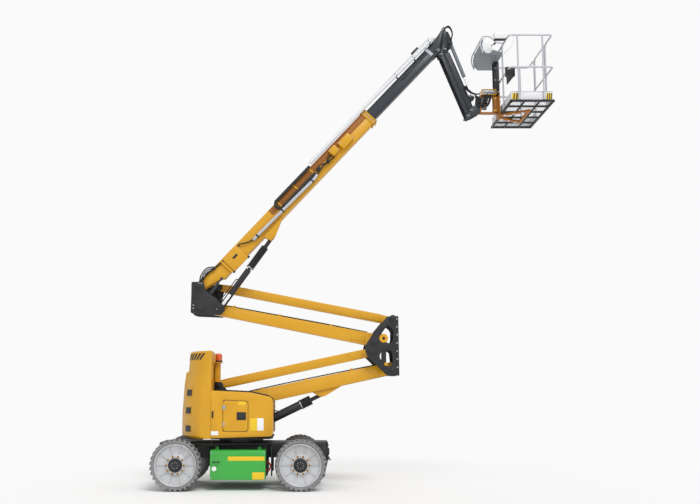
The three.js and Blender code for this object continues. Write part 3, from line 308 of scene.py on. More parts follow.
def sheet(points, axis, low, high, edge=0):
    """A flat outline (u, v) extruded along an axis: u, v are the other two axes in order."""
    place = {
        "x": lambda u, v: (low, u, v),
        "y": lambda u, v: (u, low, v),
        "z": lambda u, v: (u, v, low),
    }[axis]
    made = loop_of([place(u, v) for u, v in points])
    step = {"x": (1, 0, 0), "y": (0, 1, 0), "z": (0, 0, 1)}[axis]
    edit(made)
    bpy.ops.mesh.edge_face_add()
    bpy.ops.mesh.extrude_region_move(TRANSFORM_OT_translate={"value": [s * (high - low) * MM for s in step]})
    leave_closed()
    return rounded(made, edge) if edge else made


def fillet(points, radius, steps=5):
    """A line's inner corners replaced by arcs."""
    points = [Vector(p) for p in points]
    line = [points[0]]
    for before, corner, after in zip(points, points[1:], points[2:]):
        reach = min(radius, 0.49 * (before - corner).length, 0.49 * (after - corner).length)
        a = corner + (before - corner).normalized() * reach
        b = corner + (after - corner).normalized() * reach
        for i in range(steps + 1):
            t = i / steps
            line.append(a * (1 - t) ** 2 + corner * 2 * t * (1 - t) + b * t ** 2)
    return line + [points[-1]]


def tube(points, radius, bend=60, sides=3, closed=False):
    """A round tube or hose along a line whose corners are bent: a curve with a round bevel, made a mesh."""
    line = fillet(points, bend) if len(points) > 2 else [Vector(p) for p in points]
    bpy.ops.object.select_all(action="DESELECT")
    bpy.ops.curve.primitive_bezier_curve_add()
    made = bpy.context.object
    made.data.splines.clear()
    spline = made.data.splines.new("POLY")
    spline.points.add(len(line) - 1)
    for target, point in zip(spline.points, line):
        target.co = (*(point * MM), 1)
    spline.use_cyclic_u = closed
    made.data.dimensions = "3D"
    made.data.bevel_depth = radius * MM
    made.data.bevel_resolution = sides
    made.data.use_fill_caps = not closed
    bpy.ops.object.convert(target="MESH")
    made = bpy.context.object
    edit(made)
    bpy.ops.mesh.remove_doubles(threshold=1e-6)
    leave_closed()
    return made


def joined(pieces):
    """The pieces as one object."""
    bpy.ops.object.select_all(action="DESELECT")
    for piece in pieces:
        piece.select_set(True)
    bpy.context.view_layer.objects.active = pieces[0]
    if len(pieces) > 1:
        bpy.ops.object.join()
    return bpy.context.object


def copied(piece, matrix):
    """Another of the same, with its own mesh, moved by a matrix."""
    again = piece.copy()
    again.data = piece.data.copy()
    bpy.context.collection.objects.link(again)
    again.data.transform(matrix)
    return again


def spun(model, count, offset=0.0, about="Y"):
    """Copies of a model spaced evenly round an axle through the origin; the model itself is removed."""
    turns = [2 * math.pi * (i + offset) / count for i in range(count)]
    copies = [copied(model, Matrix.Rotation(turn, 4, about)) for turn in turns]
    bpy.data.objects.remove(model)
    return copies


def done(piece, name, coat, body, smooth=35, instead=()):
    """The last step for a piece: its name, finish and soft edges, its body and what it stands for."""
    pick(piece)
    piece.name = name
    piece.data.name = name
    bpy.ops.object.shade_smooth_by_angle(angle=math.radians(smooth))
    piece.data.materials.clear()
    piece.data.materials.append(finish[coat])
    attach(piece, body)
    if instead:
        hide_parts(*instead)
    finished.append(name)
    return piece


def frame_at(body, slope=0.0):
    """The frame of a body: at its pivot, X along it at a slope in degrees above level and Z square to it."""
    return Matrix.Translation(pivots[body]) @ Matrix.Rotation(-math.radians(slope), 4, "Y")


slope_of = {"lower_arm": 12, "lower_link": 12, "upper_arm": -11, "upper_link": -11, "main_boom": 46.9,
            "jib_arm": -68.6}
places = {body: frame_at(body, slope_of.get(body, 0)) for body in pivots}
# What these carry is measured in a neighbour's frame.
neighbours = {"chassis": "turret", "hood_door_right": "turret", "hood_door_left": "turret",
              "fly_boom": "main_boom",
              "platform_gate": "platform"}
places.update({body: places[neighbour] for body, neighbour in neighbours.items()})


def fit(pieces, name, coat, body, smooth=35, instead=(), place=None):
    """Pieces made in a body's frame, joined into one, moved to that frame and finished."""
    whole = joined(pieces)
    whole.data.transform(places[body] if place is None else place)
    return done(whole, name, coat, body, smooth, instead)


# %% [markdown]
# ## The frame's own steelwork
# A welded and painted plate has edges broken by a grinder and softened by paint. The frame's nodes are
# loose triangles with knife edges, so each is copied, its triangles are welded together and its flat
# faces joined, and then its edges are bevelled by a few millimetres.

# %% Dressed copies
dressings = {
    "yellow": ["beacon_mast", "lower_arm", "lower_link", "upper_arm", "upper_link",
               "hood_right", "hood_left", "hood_door_right", "hood_door_left",
               "counterweight", "tail_weight_right", "tail_weight_left"],
    # Painted shade: the rotator arms and the platform's fork are drawn in the darker yellow.
    "shaded_yellow": ["rotator_arms", "platform_mount"],
    "green": ["battery_box_right", "battery_box_left"],
    "charcoal": ["front_guard", "rear_axle", "front_axle", "knuckle_right", "knuckle_left", "tie_rod",
                 "turret_frame", "power_unit", "elbow_bracket", "riser_bracket", "tower_cylinder_barrel",
                 "boom_cylinder_barrel"],
    "black": ["chassis_frame", "mount_posts"],
    "slate": ["fly_boom", "tip_yoke", "jib_arm", "jib_link_right", "jib_link_left", "jib_head"],
    "cast": ["slew_ring"],
    "abs": ["jib_cylinder_barrel"],
    "chrome": ["jib_cylinder_rod"],
    "rail": ["fly_supply_tube", "platform_gate"],
}
# How far each node's edges are broken, where it isn't the usual amount.
edge_break = {"counterweight": 8, "tail_weight_right": 10, "tail_weight_left": 10, "hood_right": 4,
              "hood_left": 4,
              "battery_box_right": 5, "battery_box_left": 5, "chassis_frame": 5}
usual_break = 2.5


def dressed(node, coat):
    """A copy of a node with its triangles welded and its edges bevelled, which stands for the node."""
    copy = frame["nodes"][node].data.copy()
    piece = bpy.data.objects.new(node + "_painted", copy)
    bpy.context.collection.objects.link(piece)
    edit(piece)
    bpy.ops.mesh.remove_doubles(threshold=2e-5)
    bpy.ops.mesh.dissolve_limited(angle_limit=math.radians(1))
    leave()
    shaped(piece, "BEVEL", width=edge_break.get(node, usual_break) * MM, segments=2, limit_method="ANGLE",
           angle_limit=math.radians(40), use_clamp_overlap=False, miter_outer="MITER_ARC")
    return done(piece, node + "_painted", coat, body_of_node[node], 40, [node])


for coat, nodes in dressings.items():
    for node in nodes:
        dressed(node, coat)
print(len(finished), "dressed copies")

# %% [markdown]
# ## Wheels
# The tyres are moulded on the rims from solid, non-marking rubber. Their tread is a row of slanted lugs on
# each shoulder, which meet in the middle. The rim is a pressed disc with ten stiffening ribs, round a hub
# with its cap and wheel nuts. One wheel is made facing outwards, and copied to the four places.

# %% One tyre
wheel_width = 290
wheel_radius = 410
rim_radius = 338
tread_depth = 22
lug_count = 30


def tyre():
    half = wheel_width / 2
    ground = wheel_radius - tread_depth
    carcass = turned([
        (rim_radius + 1, -half + 24), (rim_radius + 14, -half + 8), (ground - 26, -half + 3),
        (ground - 5, -half + 12), (ground, -half + 26), (ground, half - 26), (ground - 5, half - 12),
        (ground - 26, half - 3), (rim_radius + 14, half - 8), (rim_radius + 1, half - 24),
    ], 96, "Y")
    lugs = []
    for side in (-1, 1):
        end, inner, outer = (side * (half - inset) for inset in (16, 18, 4))
        lug = sheet([(-24, 4), (24, 4), (8, end), (-32, end)], "z", ground - 3, wheel_radius, 3)
        shoulder = sheet([(-32, outer), (8, outer), (8, inner), (-32, inner)], "z", ground - 34,
                         wheel_radius - 6, 3)
        for model in (lug, shoulder):
            lugs += spun(model, lug_count, 0.5 if side > 0 else 0)
    return joined([carcass, *lugs])


# %% One rim, its outer side towards -Y
rib_count = 10
rim_half = wheel_width / 2 - 20


def rim():
    half = rim_half
    disc = turned([
        (rim_radius, half), (rim_radius, -half - 8), (rim_radius - 8, -half - 12),
        (rim_radius - 16, -half - 6), (rim_radius - 22, -half + 20), (rim_radius - 40, -half + 44),
        (180, -half + 62), (150, -half + 40), (142, -half + 30), (110, -half + 30), (110, -half + 60),
        (142, -half + 66), (rim_radius - 22, -half + 64), (rim_radius - 22, half),
    ], 96, "Y")
    rib = sheet([(158, -half + 48), (rim_radius - 26, -half + 26), (rim_radius - 26, -half + 60),
                 (158, -half + 72)], "z", -5, 5, 3)
    return joined([disc, *spun(rib, rib_count)])


def slots_between_ribs():
    """Dark narrow grooves in the disc, one between each pair of ribs, deeper towards the edge: black strips
    that are painted shade in the grooves.
    """
    half = rim_half
    groove = sheet([(196, -half + 60.5), (304, -half + 45), (304, -half + 52), (196, -half + 64)], "z", -7, 7)
    return joined(spun(groove, rib_count, 0.5))


# %% Hub, cap and nuts
hub_radius = 112
nut_circle = 141
nut_count = 10
nut_face = -rim_half + 10


def hub():
    half = rim_half
    return turned([
        (0.01, -half + 70), (hub_radius, -half + 70), (hub_radius, -half + 22), (hub_radius - 14, -half + 10),
        (74, -half + 8), (70, -half - 10), (60, -half - 20), (0.01, -half - 22),
    ], 64, "Y")


def wheel_nut():
    return rod((nut_circle, nut_face + 30, 0), (nut_circle, nut_face - 4, 0), 12, 6, 2)


def nut_tag():
    """A pointer on a nut: two in line show at a glance that neither has come loose."""
    return rod((nut_circle, nut_face + 14, 0), (nut_circle, nut_face + 8, 0), 20, 5, 1)


def cap_bolt():
    radius, face = 52, -rim_half - 14
    return rod((radius, face + 8, 0), (radius, face - 10, 0), 7, 6, 1)


models = {
    "tyre": (tyre(), "tyre"), "rim": (rim(), "rim"), "rim_hole_shades": (slots_between_ribs(), "nylon"),
    "hub": (hub(), "nylon"),
    "wheel_nuts": (joined(spun(wheel_nut(), nut_count)), "nylon"),
    "nut_tags": (joined(spun(nut_tag(), nut_count)), "yellow"),
    "cap_bolts": (joined(spun(cap_bolt(), 8)), "zinc"),
}
for end in ("front", "rear"):
    for side in ("right", "left"):
        body = f"wheel_{end}_{side}"
        facing = Matrix.Rotation(math.pi if side == "left" else 0.0, 4, "Z")
        place = Matrix.Translation(pivots[body]) @ facing
        for name, (model, coat) in models.items():
            stands_for = {"tyre": [f"tyre_{end}_{side}"], "rim": [f"rim_{end}_{side}"]}.get(name, ())
            done(copied(model, place), f"{name}_{end}_{side}_made", coat, body, 35, stands_for)
for model, coat in models.values():
    bpy.data.objects.remove(model)
print(len(finished), "pieces with the wheels")

# %% [markdown]
# ## Bolts, pin caps and labels
# Bolted joints show a washer under a hexagon head. Each large pin ends in a turned cap whose edge is
# chamfered, held by a keeper plate with one small bolt, so that the pin can be greased but cannot turn.

# %% Small hardware
def bolt(at, out, radius=12):
    """A washer and a hexagon head on a face that looks along out."""
    at, out = Vector(at), Vector(out)
    washer = rod(at - out, at + out * 3, radius * 1.4, 16)
    return joined([washer, rod(at + out * 3, at + out * (3 + radius * 0.75), radius, 6, 1)])


def pin_cap(at, out, radius=42):
    """A chamfered cap with its keeper plate and bolt, on a face that looks to the right or the left."""
    at, out = Vector(at), Vector(out)
    cap = rod(at - out, at + out * 9, radius, 32, 2)
    low, high = sorted((at.y, at.y + 13 * out.y))
    keeper = block(at.x - radius - 22, at.x - radius * 0.3, low, high, at.z - 13, at.z + 13, 2)
    return joined([cap, keeper, bolt(at + Vector((-radius - 8, out.y * 13, 0)), out, 7)])


def label(x0, x1, z0, z1, y):
    """A blank plate on a face across Y, its sharp corners broken."""
    return block(x0, x1, y - 1.2, y + 0.6, z0, z1, 0.5)


def pad(x0, x1, face, sink, rise, z0, z1, edge=2):
    """A block on a face across Y, on either side: from sink inside the face to rise outside it."""
    out = math.copysign(1, face)
    return block(x0, x1, *sorted((face - out * sink, face + out * rise)), z0, z1, edge)


def bolt_circle(radius, height, count, size, upright):
    """Bolts on a circle about Z, which look up if upright and outwards if not."""
    made = []
    for i in range(count):
        a = 2 * math.pi * i / count
        round_out = (math.cos(a), math.sin(a), 0)
        made.append(bolt((radius * math.cos(a), radius * math.sin(a), height),
                         (0, 0, 1) if upright else round_out, size))
    return made


right, left = Vector((0, -1, 0)), Vector((0, 1, 0))
outward = {-1: right, 1: left}
sides = (("right", -1), ("left", 1))

# %% [markdown]
# ## Turret: tail, beacon and hoods
# The tail is a cast counterweight whose outer face is round, so that it stays inside the wheels as the
# turret slews. Hazard stripes on its shoulder warn whoever stands beside it, and the pockets take the
# tips of a lifting fork. A lamp on a bracket flashes while the machine drives.

# %% Stripes and pockets on the round tail
tail_radius_at = [(868, 940), (905, 1000), (1250, 1000), (1600, 985), (1780, 960), (2000, 918), (2260, 905),
                  (2290, 875)]


def radius_at(height):
    for (z0, r0), (z1, r1) in zip(tail_radius_at, tail_radius_at[1:]):
        if z0 <= height <= z1:
            return r0 + (r1 - r0) * (height - z0) / (z1 - z0)
    return tail_radius_at[-1][1]


def patch(angle, width, z0, z1, lean=0.0, proud=2.5, columns=6, rows=3):
    """A thin skin on the tail: an angle and a width in degrees, two heights and a lean in degrees."""
    bpy.ops.object.select_all(action="DESELECT")
    bpy.ops.mesh.primitive_grid_add(x_subdivisions=columns, y_subdivisions=rows, size=1)
    made = bpy.context.object
    for vertex in made.data.vertices:
        u, v = vertex.co.x + 0.5, vertex.co.y + 0.5
        height = z0 + (z1 - z0) * v
        turn = math.radians(180 + angle + width * u + lean * v)
        reach = (radius_at(height) + proud) * MM
        vertex.co = (reach * math.cos(turn), reach * math.sin(turn), height * MM)
    return shaped(made, "SOLIDIFY", thickness=3 * MM, offset=-1)


pocket_sills, pocket_height, lip = (972, 1266, 1555), 104, 12
for side, turn in (("right", 1), ("left", -1)):
    stripes = [patch(turn * (20 + 5.8 * i), turn * 3.1, 2146, 2250, turn * 6) for i in range(5)]
    fit(stripes, f"tail_stripes_{side}", "nylon", "turret")
    # Each pocket is drawn as a thin black skin on the tail: painted shade for its hollow, between yellow
    # lips.
    pockets = [patch(turn * 27, turn * 11, z, z + pocket_height, proud=2) for z in pocket_sills]
    fit(pockets, f"tail_pocket_shades_{side}", "nylon", "turret")
    lips = [patch(turn * 26, turn * 13, z + dz, z + dz + lip, proud=5) for z in pocket_sills
            for dz in (-lip, pocket_height)]
    fit(lips, f"tail_pocket_lips_{side}", "yellow", "turret")

# %% Beacon
lamp = Vector((-366, -330, 2112))
lens = turned([
    (0.01, 30), (56, 30), (57, 36), (55, 60), (57, 66), (55, 90), (57, 96), (52, 124), (40, 142), (20, 150),
    (0.01, 152),
], 40)
ribs = spun(rod((54, 0, 34), (49, 0, 122), 2.5, 8), 24, about="Z")
at_lamp = places["turret"] @ Matrix.Translation(lamp * MM)
fit([lens, *ribs], "beacon_lens", "amber", "turret", 35, ["beacon"], at_lamp)
base = turned([(0.01, 0), (60, 0), (60, 18), (57, 26), (50, 30), (0.01, 30)], 40)
fit([base, *[bolt((50 * math.cos(a), 50 * math.sin(a), 29), (0, 0, 1), 4) for a in (0.5, 2.6, 4.7)]],
    "beacon_base", "nylon", "turret", place=at_lamp)
cable = [(-400, -335, 2108), (-430, -340, 2040), (-434, -336, 1800), (-430, -330, 1690), (-390, -320, 1656)]
fit([tube(cable, 5, 40)], "beacon_cable", "rubber", "turret")

# %% Hoods: latches, hinges, handles and blank labels
hood_face = 790
for side, y in sides:
    face, out, body = y * hood_face, outward[y], f"hood_door_{side}"
    latch = [pad(-26, 125, face, 2, 5, 1169, 1296, 12), pad(0, 100, face, -4, 12, 1195, 1270, 8)]
    fit(latch, f"door_latch_{side}", "nylon", body)
    frame_strip = tube([(-247, face, 988), (157, face, 988), (157, face, 1470), (-247, face, 1489),
                        (-247, face, 988)], 3, 40)
    fit([frame_strip], f"door_seam_{side}", "nylon", body)
    hinges = []
    for z in (1105, 1372):
        hinges.append(rod((-250, face + y * 6, z - 34), (-250, face + y * 6, z + 34), 8, 16, 1))
        hinges.append(pad(-246, -204, face, 0, 4, z - 30, z + 30))
        hinges += [bolt((-218, face + y * 4, z + dz), out, 5) for dz in (-16, 16)]
    fit(hinges, f"door_hinges_{side}", "zinc", body)
    fit([pad(-428, -400, face, 0, 14, 1201, 1312, 6)], f"hood_slot_handle_{side}", "nylon", "turret")
    fit([label(-4, 118, 1408, 1462, face + y)], f"door_labels_{side}", "yellow_vinyl", body)
    plates = [label(306, 410, 1002, 1198, face + y), label(-438, -318, 928, 992, face + y)]
    fit(plates, f"hood_labels_{side}", "vinyl", "turret")
    fit([label(190, 304, 1002, 1198, face + y)], f"hood_warning_{side}", "yellow_vinyl", "turret")
    edge_line = tube([(-436, y * 781, 1633), (196, y * 781, 1602), (508, y * 781, 1530)], 10, 30)
    fit([edge_line], f"hood_top_roll_{side}", "yellow", "turret")
hose_line = [(-380, -300, 1652), (160, -310, 1626), (470, -300, 1560), (548, -250, 1500)]
fit([tube(hose_line, 11, 80), tube([(x, y - 26, z - 4) for x, y, z in hose_line], 9, 80)], "hood_top_hoses",
    "rubber", "turret")

# %% Turntable: a bearing cover with a ring of bolts
ring = turned([(352, 800), (366, 800), (366, 838), (360, 846), (352, 846)], 80)
fit([ring, *bolt_circle(366, 823, 32, 9, upright=False)], "bearing_cover", "charcoal", "chassis")
fit(bolt_circle(320, 879, 24, 11, upright=True), "slew_bolts", "zinc", "turret")

# %% Turret cheeks: pin caps, hose clamps and the slew motor
caps = [pin_cap((x, side * 130, z), outward[side], r) for side in (-1, 1) for x, z, r in (
    (-39, 1420, 46), (-399, 1740, 44), (70, 950, 44))]
fit(caps, "turret_pin_caps", "charcoal", "turret")
motor = [rod((-420, -180, 880), (-420, -180, 1010), 62, 32, 4),
         rod((-420, -180, 1008), (-420, -180, 1130), 48, 28, 4)]
fit(motor, "slew_motor", "charcoal", "turret")

# %% [markdown]
# ## Chassis
# The batteries stand in boxes between the wheels, low down, where their weight keeps the machine upright.
# The boxes are folded sheet with lifting eyes, a handle and a lid; their cables leave in front.

# %% Battery boxes
box_face = 750
for side, y in sides:
    face, out = y * box_face, outward[y]
    lid = pad(-452, 442, face, 2, 4, 600, 606, 1)
    handle = tube([(-400, face, 500), (-400, face + y * 34, 500), (-310, face + y * 34, 500),
                   (-310, face, 500)], 8, 16)
    eyes = [tube([(x - 22, y * 606, 690), (x - 22, y * 606, 734), (x + 22, y * 606, 734),
                  (x + 22, y * 606, 690)], 7, 20) for x in (-350, 340)]
    fit([lid, *eyes], f"battery_lid_edge_{side}", "green", "chassis")
    ends = [bolt((x, face, 500), out, 9) for x in (-400, -310)]
    fit([handle, *ends], f"battery_handle_{side}", "nylon", "chassis")
    plates = [label(-163, 425, 522, 590, face + y), label(229, 425, 227, 340, face + y)]
    fit(plates, f"battery_labels_{side}", "yellow_vinyl", "chassis")
    fit([rod((-385, face, 395), (-385, face + y * 2, 395), 38, 40, 0.5)], f"battery_round_label_{side}",
        "vinyl", "chassis")
    loop = tube([(440, y * 560, 480), (490, y * 590, 500), (520, y * 600, 420), (490, y * 590, 345),
                 (440, y * 570, 360)], 11, 50)
    fit([loop], f"battery_cable_{side}", "red_cable", "chassis")
    guard = [block(520, 540, *sorted((y * 300, y * 560)), 260, 726, 6)]
    fit(guard, f"front_mudguard_{side}", "black", "chassis")
    bolts = [bolt((x, face, z), out, 8) for x in (-430, 420) for z in (245, 640)]
    fit(bolts, f"battery_bolts_{side}", "zinc", "chassis")
    steer_hose = tube([(600, y * 250, 500), (800, y * 300, 640), (930, y * 330, 600), (960, y * 360, 480)],
                      10, 90)
    fit([steer_hose], f"steer_hoses_{side}", "rubber", "chassis")

# %% Nose and tail of the chassis: hooks, tie-down rings and lamps
for y in (-230, 230):
    name = "right" if y < 0 else "left"
    ring = tube([(1462, y - 40, 520), (1500, y - 40, 500), (1500, y + 40, 500), (1462, y + 40, 520)], 11, 26)
    fit([ring, *[bolt((1462, y + dy, dz), (1, 0, 0), 11) for dy in (-40, 40) for dz in (590, 740)]],
        f"front_tie_ring_{name}", "charcoal", "chassis")
    ring = tube([(-1330, y - 40, 560), (-1368, y - 40, 540), (-1368, y + 40, 540), (-1330, y + 40, 560)], 11,
                26)
    fit([ring, block(-1338, -1328, y - 70, y + 70, 530, 700, 3)], f"rear_tie_ring_{name}", "charcoal",
        "chassis")

# %% [markdown]
# ## Tower joints
# The elbow and the riser are pairs of plates, cut from 20 mm steel and held apart by their pins. Round
# bosses are welded on where a pin passes, so that it bears on more than the plate's thickness. A bar
# between the elbow's two arms makes the upper stage open at the same angle as the lower one.

# %% Elbow
plate_face, boss_face = 250, 258


def bossed(pins, swell):
    """Welded bosses and pin caps on both outer faces of a pair of plates, for pins (x, z, radius)."""
    bosses, caps = [], []
    for side in (-1, 1):
        for x, z, radius in pins:
            bosses.append(rod((x, side * (plate_face - 2), z), (x, side * boss_face, z), radius + swell, 40,
                              2))
            caps.append(pin_cap((x, side * boss_face, z), outward[side], radius - 8))
    return bosses, caps


bosses, caps = bossed(((0, 0, 46), (-360, 320, 44), (-306, 473, 46), (3, 884, 40)), 22)
fit(bosses, "elbow_bosses", "charcoal", "elbow")
fit(caps, "elbow_pin_caps", "charcoal", "elbow")
ring = turned([(26, -262), (72, -262), (75, -258), (75, -234), (26, -234)], 40, "Y")
ring.data.transform(Matrix.Translation(Vector((-158, 0, 548)) * MM))
fit([ring, block(-150, -96, -264, -248, 84, 138, 8)], "elbow_yellow_boss", "yellow", "elbow")
timing = [sheet([(-204, 120), (-118, 120), (-110, 560), (-196, 560)], "y", -234, -220, 3),
          rod((-160, -240, 548), (-160, -214, 548), 30, 28, 2),
          rod((-163, -240, 145), (-163, -214, 145), 28, 28, 2)]
fit(timing, "timing_link", "nylon", "elbow")
fit([bolt((70, side * plate_face, z), outward[side], 10) for side in (-1, 1) for z in range(60, 880, 136)],
    "elbow_flange_bolts", "zinc", "elbow")

# %% Doubler plates, seams and grease points on the arms
arm_side = 90
for node, spots in (
    ("lower_arm", ((-62, 2280, 2520, 60),)),
    ("lower_link", ((-56, 2280, 2520, 56),)),
    ("upper_arm", ((-20, -420, -160, 60), (-10, -2860, -2600, 50))),
):
    plates = [pad(x0, x1, side * arm_side, 1, 6, low + 6, low + 2 * half, 3) for low, x0, x1,
              half in spots for side in (-1, 1)]
    fit(plates, f"{node}_doublers", "yellow", node)
link = [block(x0, x1, *sorted((face, face + grow)), -52, 52, 3) for x0, x1 in ((-430, -150), (-2880, -2600))
        for face, grow in ((110, -6), (220, 6))]
fit(link, "upper_link_doublers", "yellow", "upper_link")
for node, route, clamps, low, high in (
    ("lower_arm", ((160, 172), (800, 178), (1600, 172), (2500, 160)), (420, 1180, 1980), 152, 192),
    ("upper_arm", ((-150, 168), (-900, 172), (-2100, 160), (-2860, 152)), (-2500, -1700, -800), 148, 184),
):
    hoses = [tube([(x, y, z) for x, z in route], 10, 200) for y in (-60, -36, -12)]
    fit(hoses, f"{node}_hoses", "rubber", node)
    fit([block(x, x + 36, -78, 6, low, high, 4) for x in clamps], f"{node}_hose_clamps", "yellow", node)
weld = [pad(-2200, -2194, side * arm_side, 1.5, 1.5, -30, 140, 1) for side in (-1, 1)]
fit(weld, "upper_arm_weld", "yellow", "upper_arm")

# %% Riser
bosses, caps = bossed(((0, 0, 50), (-25, 374, 46)), 18)
bosses.append(rod((335, 2 - plate_face, 20), (335, -boss_face, 20), 52, 40, 2))
caps.append(pin_cap((335, -boss_face, 20), right, 34))
fit(bosses, "riser_bosses", "charcoal", "riser")
fit(caps, "riser_pin_caps", "charcoal", "riser")
heads = [(-27, 440), (14, 436), (-120, 64), (-120, 12), (286, -5)]
fit([bolt((x, side * plate_face, z), outward[side], 8) for side in (-1, 1) for x, z in heads], "riser_bolts",
    "zinc", "riser")
fold = [sheet([(-150, 168), (150, 196), (150, 204), (-150, 176)], "y", -254, -249, 1)]
fit(fold, "riser_stiffener", "charcoal", "riser")
levelling = [rod((180, -205, 287), (300, -205, 455), 24, 24, 3),
             rod((296, -205, 450), (352, -205, 528), 13, 20),
             rod((180, -226, 287), (180, -184, 287), 30, 24, 2),
             rod((352, -222, 528), (352, -188, 528), 20, 24, 2)]
fit(levelling, "levelling_cylinder", "slate", "riser")
loops = [tube([(60, -200 - 12 * i, 200), (20 - 30 * i, -210, 470 + 30 * i), (90, -205, 640 + 40 * i),
               (240, -190, 690 + 20 * i)], 11, 160)
         for i in range(3)]
fit(loops, "riser_hoses", "rubber", "riser")

# %% [markdown]
# ## Cylinders
# A rubber bellows covers each rod, so that weld spatter and dust cannot score its chrome. It is moulded
# in convolutions, which on the machine fold as the rod goes in; here it is one rigid piece that moves with
# the rod. A band clamp holds it on the barrel's collar.


# %% Bellows, clamps and glands
def bellows(start, end, inner, crest, neck, pitch=26):
    """Convolutions along X between two distances behind the rod's eye, and a narrower neck up to the eye."""
    folds = round((end - start) / pitch)
    step = (end - start) / folds
    outline = [(inner, start)]
    for i in range(folds):
        s = start + step * i
        outline += [(crest - 9, s + step * 0.05), (crest, s + step * 0.35), (crest, s + step * 0.65),
                    (crest - 9, s + step * 0.95)]
    outline.append((inner, end))
    return joined([turned(outline, 32, "X"), rod((end - 4, 0, 0), (-44, 0, 0), neck, 24)])


def cylinder_slope(rod_body):
    joint = next(j for j in frame["record"]["behaviour"]["joints"] if j["child"] == rod_body)
    return math.degrees(math.atan2(joint["axis"][2], joint["axis"][0]))


def rod_frame(barrel_body, rod_body, length):
    return frame_at(barrel_body, cylinder_slope(rod_body)) @ Matrix.Translation((length * MM, 0, 0))


# Each cylinder's length at rest, from the pin at its foot to the eye of its rod.
tower_rod = rod_frame("tower_cylinder_barrel", "tower_cylinder_rod", 1443)
boom_rod = rod_frame("boom_cylinder_barrel", "boom_cylinder_rod", 1497.2)
for tag, place, start, end, inner, crest, neck, shaft, length in (
    ("tower", tower_rod, -400, -205, 76, 84, 33, 31, 880),
    ("boom", boom_rod, -640, -190, 56, 66, 34, 30, 1010),
):
    folds = bellows(start, end, inner, crest, neck)
    eye = rod((0, -24, 0), (0, 24, 0), 30, 32, 2)
    shaft_bar = rod((-length, 0, 0), (-20, 0, 0), shaft - 2, 20)
    body = f"{tag}_cylinder_rod"
    fit([folds, eye, shaft_bar], f"{tag}_bellows", "rubber", body, 30, [body], place)
    clamp = turned([(crest - 6, start - 8), (crest + 2, start - 8), (crest + 2, start + 12),
                    (crest - 6, start + 12)], 40, "X")
    screw = rod((start + 2, -crest - 2, -14), (start + 2, -crest - 2, 16), 5, 12)
    fit([clamp, screw], f"{tag}_bellows_clamp", "zinc", body, place=place)
tower_barrel = frame_at("tower_cylinder_barrel", cylinder_slope("tower_cylinder_rod"))
boom_barrel = frame_at("boom_cylinder_barrel", cylinder_slope("boom_cylinder_rod"))
pipes = [tube([(120, -20, 73), (120, -20, 96), (620, -20, 96), (640, -20, 74)], 9, 20),
         block(95, 150, -34, -6, 66, 104, 4)]
fit(pipes, "tower_cylinder_pipe", "charcoal", "tower_cylinder_barrel", place=tower_barrel)
pipes = [tube([(120, 0, 50), (120, 0, 78), (560, 0, 78), (580, 0, 52)], 8, 20),
         block(95, 150, -20, 20, 46, 84, 4)]
fit(pipes, "boom_cylinder_pipe", "charcoal", "boom_cylinder_barrel", place=boom_barrel)
fit([block(70, 286, -54.5, -51, -26, 26, 1)], "boom_cylinder_label", "vinyl", "boom_cylinder_barrel",
    place=boom_barrel)

# %% [markdown]
# ## Boom
# The outer boom is a welded box; the fly slides in it on nylon pads, which show round the collar. Cables
# and hoses cross from the one to the other in an energy chain: links of black nylon, which on the machine
# turn a little against the next, so that the loop rolls along as the fly goes out. Here the links are
# joined into one rigid piece on the outer boom.

# %% The outer boom: a welded box tube, its collar, foot cheeks and cylinder lugs

def box_tube(x0, x1, y0, y1, z0, z1, wall, corner=8):
    """A square tube along X with rounded corners and open ends."""
    half = wall / 2
    inset = ((y0 + half, z0 + half), (y1 - half, z0 + half), (y1 - half, z1 - half), (y0 + half, z1 - half))
    corners = [Vector((x0, y, z)) for y, z in inset]
    ring = []
    for before, at, after in zip(corners[-1:] + corners[:-1], corners, corners[1:] + corners[:1]):
        a, b = (before - at).normalized() * corner, (after - at).normalized() * corner
        ring += [at + a, at + (a + b) * 0.29, at + b]
    made = loop_of(ring)
    edit(made)
    bpy.ops.mesh.extrude_region_move(TRANSFORM_OT_translate={"value": ((x1 - x0) * MM, 0, 0)})
    leave_closed()
    return shaped(made, "SOLIDIFY", thickness=wall * MM, offset=0)


def bored(piece, radius, y0, y1):
    """The piece with a round hole through it along Y, about the frame's origin."""
    drill = rod((0, y0, 0), (0, y1, 0), radius, 32)
    shaped(piece, "BOOLEAN", object=drill, operation="DIFFERENCE", solver="EXACT")
    bpy.data.objects.remove(drill)
    return piece


cheek = [(-75, -40), (-60, 60), (60, 66), (480, 68), (480, -142), (400, -172), (60, -70)]
lug = [(1400, -200), (1427, -340), (1517, -340), (1867, -200)]
boom_side, boom_low, boom_high = 95, -202, 72
collar_start, collar_end = 4190, 4270
steelwork = [box_tube(400, 4250, -boom_side, boom_side, boom_low, boom_high, 8),
             box_tube(collar_start, collar_end, -boom_side - 8, boom_side + 8, boom_low - 8, boom_high + 8,
                      16)]
steelwork += [bored(sheet(cheek, "y", y, y + 18, 4), 37, -200, 200) for y in (-boom_side, boom_side - 18)]
steelwork.append(turned([(37, -164), (60, -164), (60, 135), (37, 135)], 40, "Y"))
steelwork.append(block(1400, 1867, -147, 35, -206, -199, 2))
steelwork += [sheet(lug, "y", y, y + 14, 3) for y in (-147, -57)]
steelwork += [rod((1472, y0, -310), (1472, y1, -310), 22, 28, 2) for y0, y1 in ((-156, -146), (-44, -34))]
fit(steelwork, "boom_outer_welded", "yellow", "main_boom", 35, ["boom_outer"])
# The upper band of the boom's side is drawn in the darker yellow: painted shade where the channel lies in
# shadow.
fit([block(1790, 4186, -102, -94, -44, 66, 1)], "boom_side_channel", "shaded_yellow", "main_boom")
fit([block(1860, 4186, -100, -94, -196, -48, 3)], "boom_side_plate", "yellow", "main_boom")

# %% Energy chain
chain_y0, chain_y1 = -160, -104
pitch, link_height = 58, 44
bend_x, bend_radius, low_end, high_end = 2010, 78, 2810, 2880


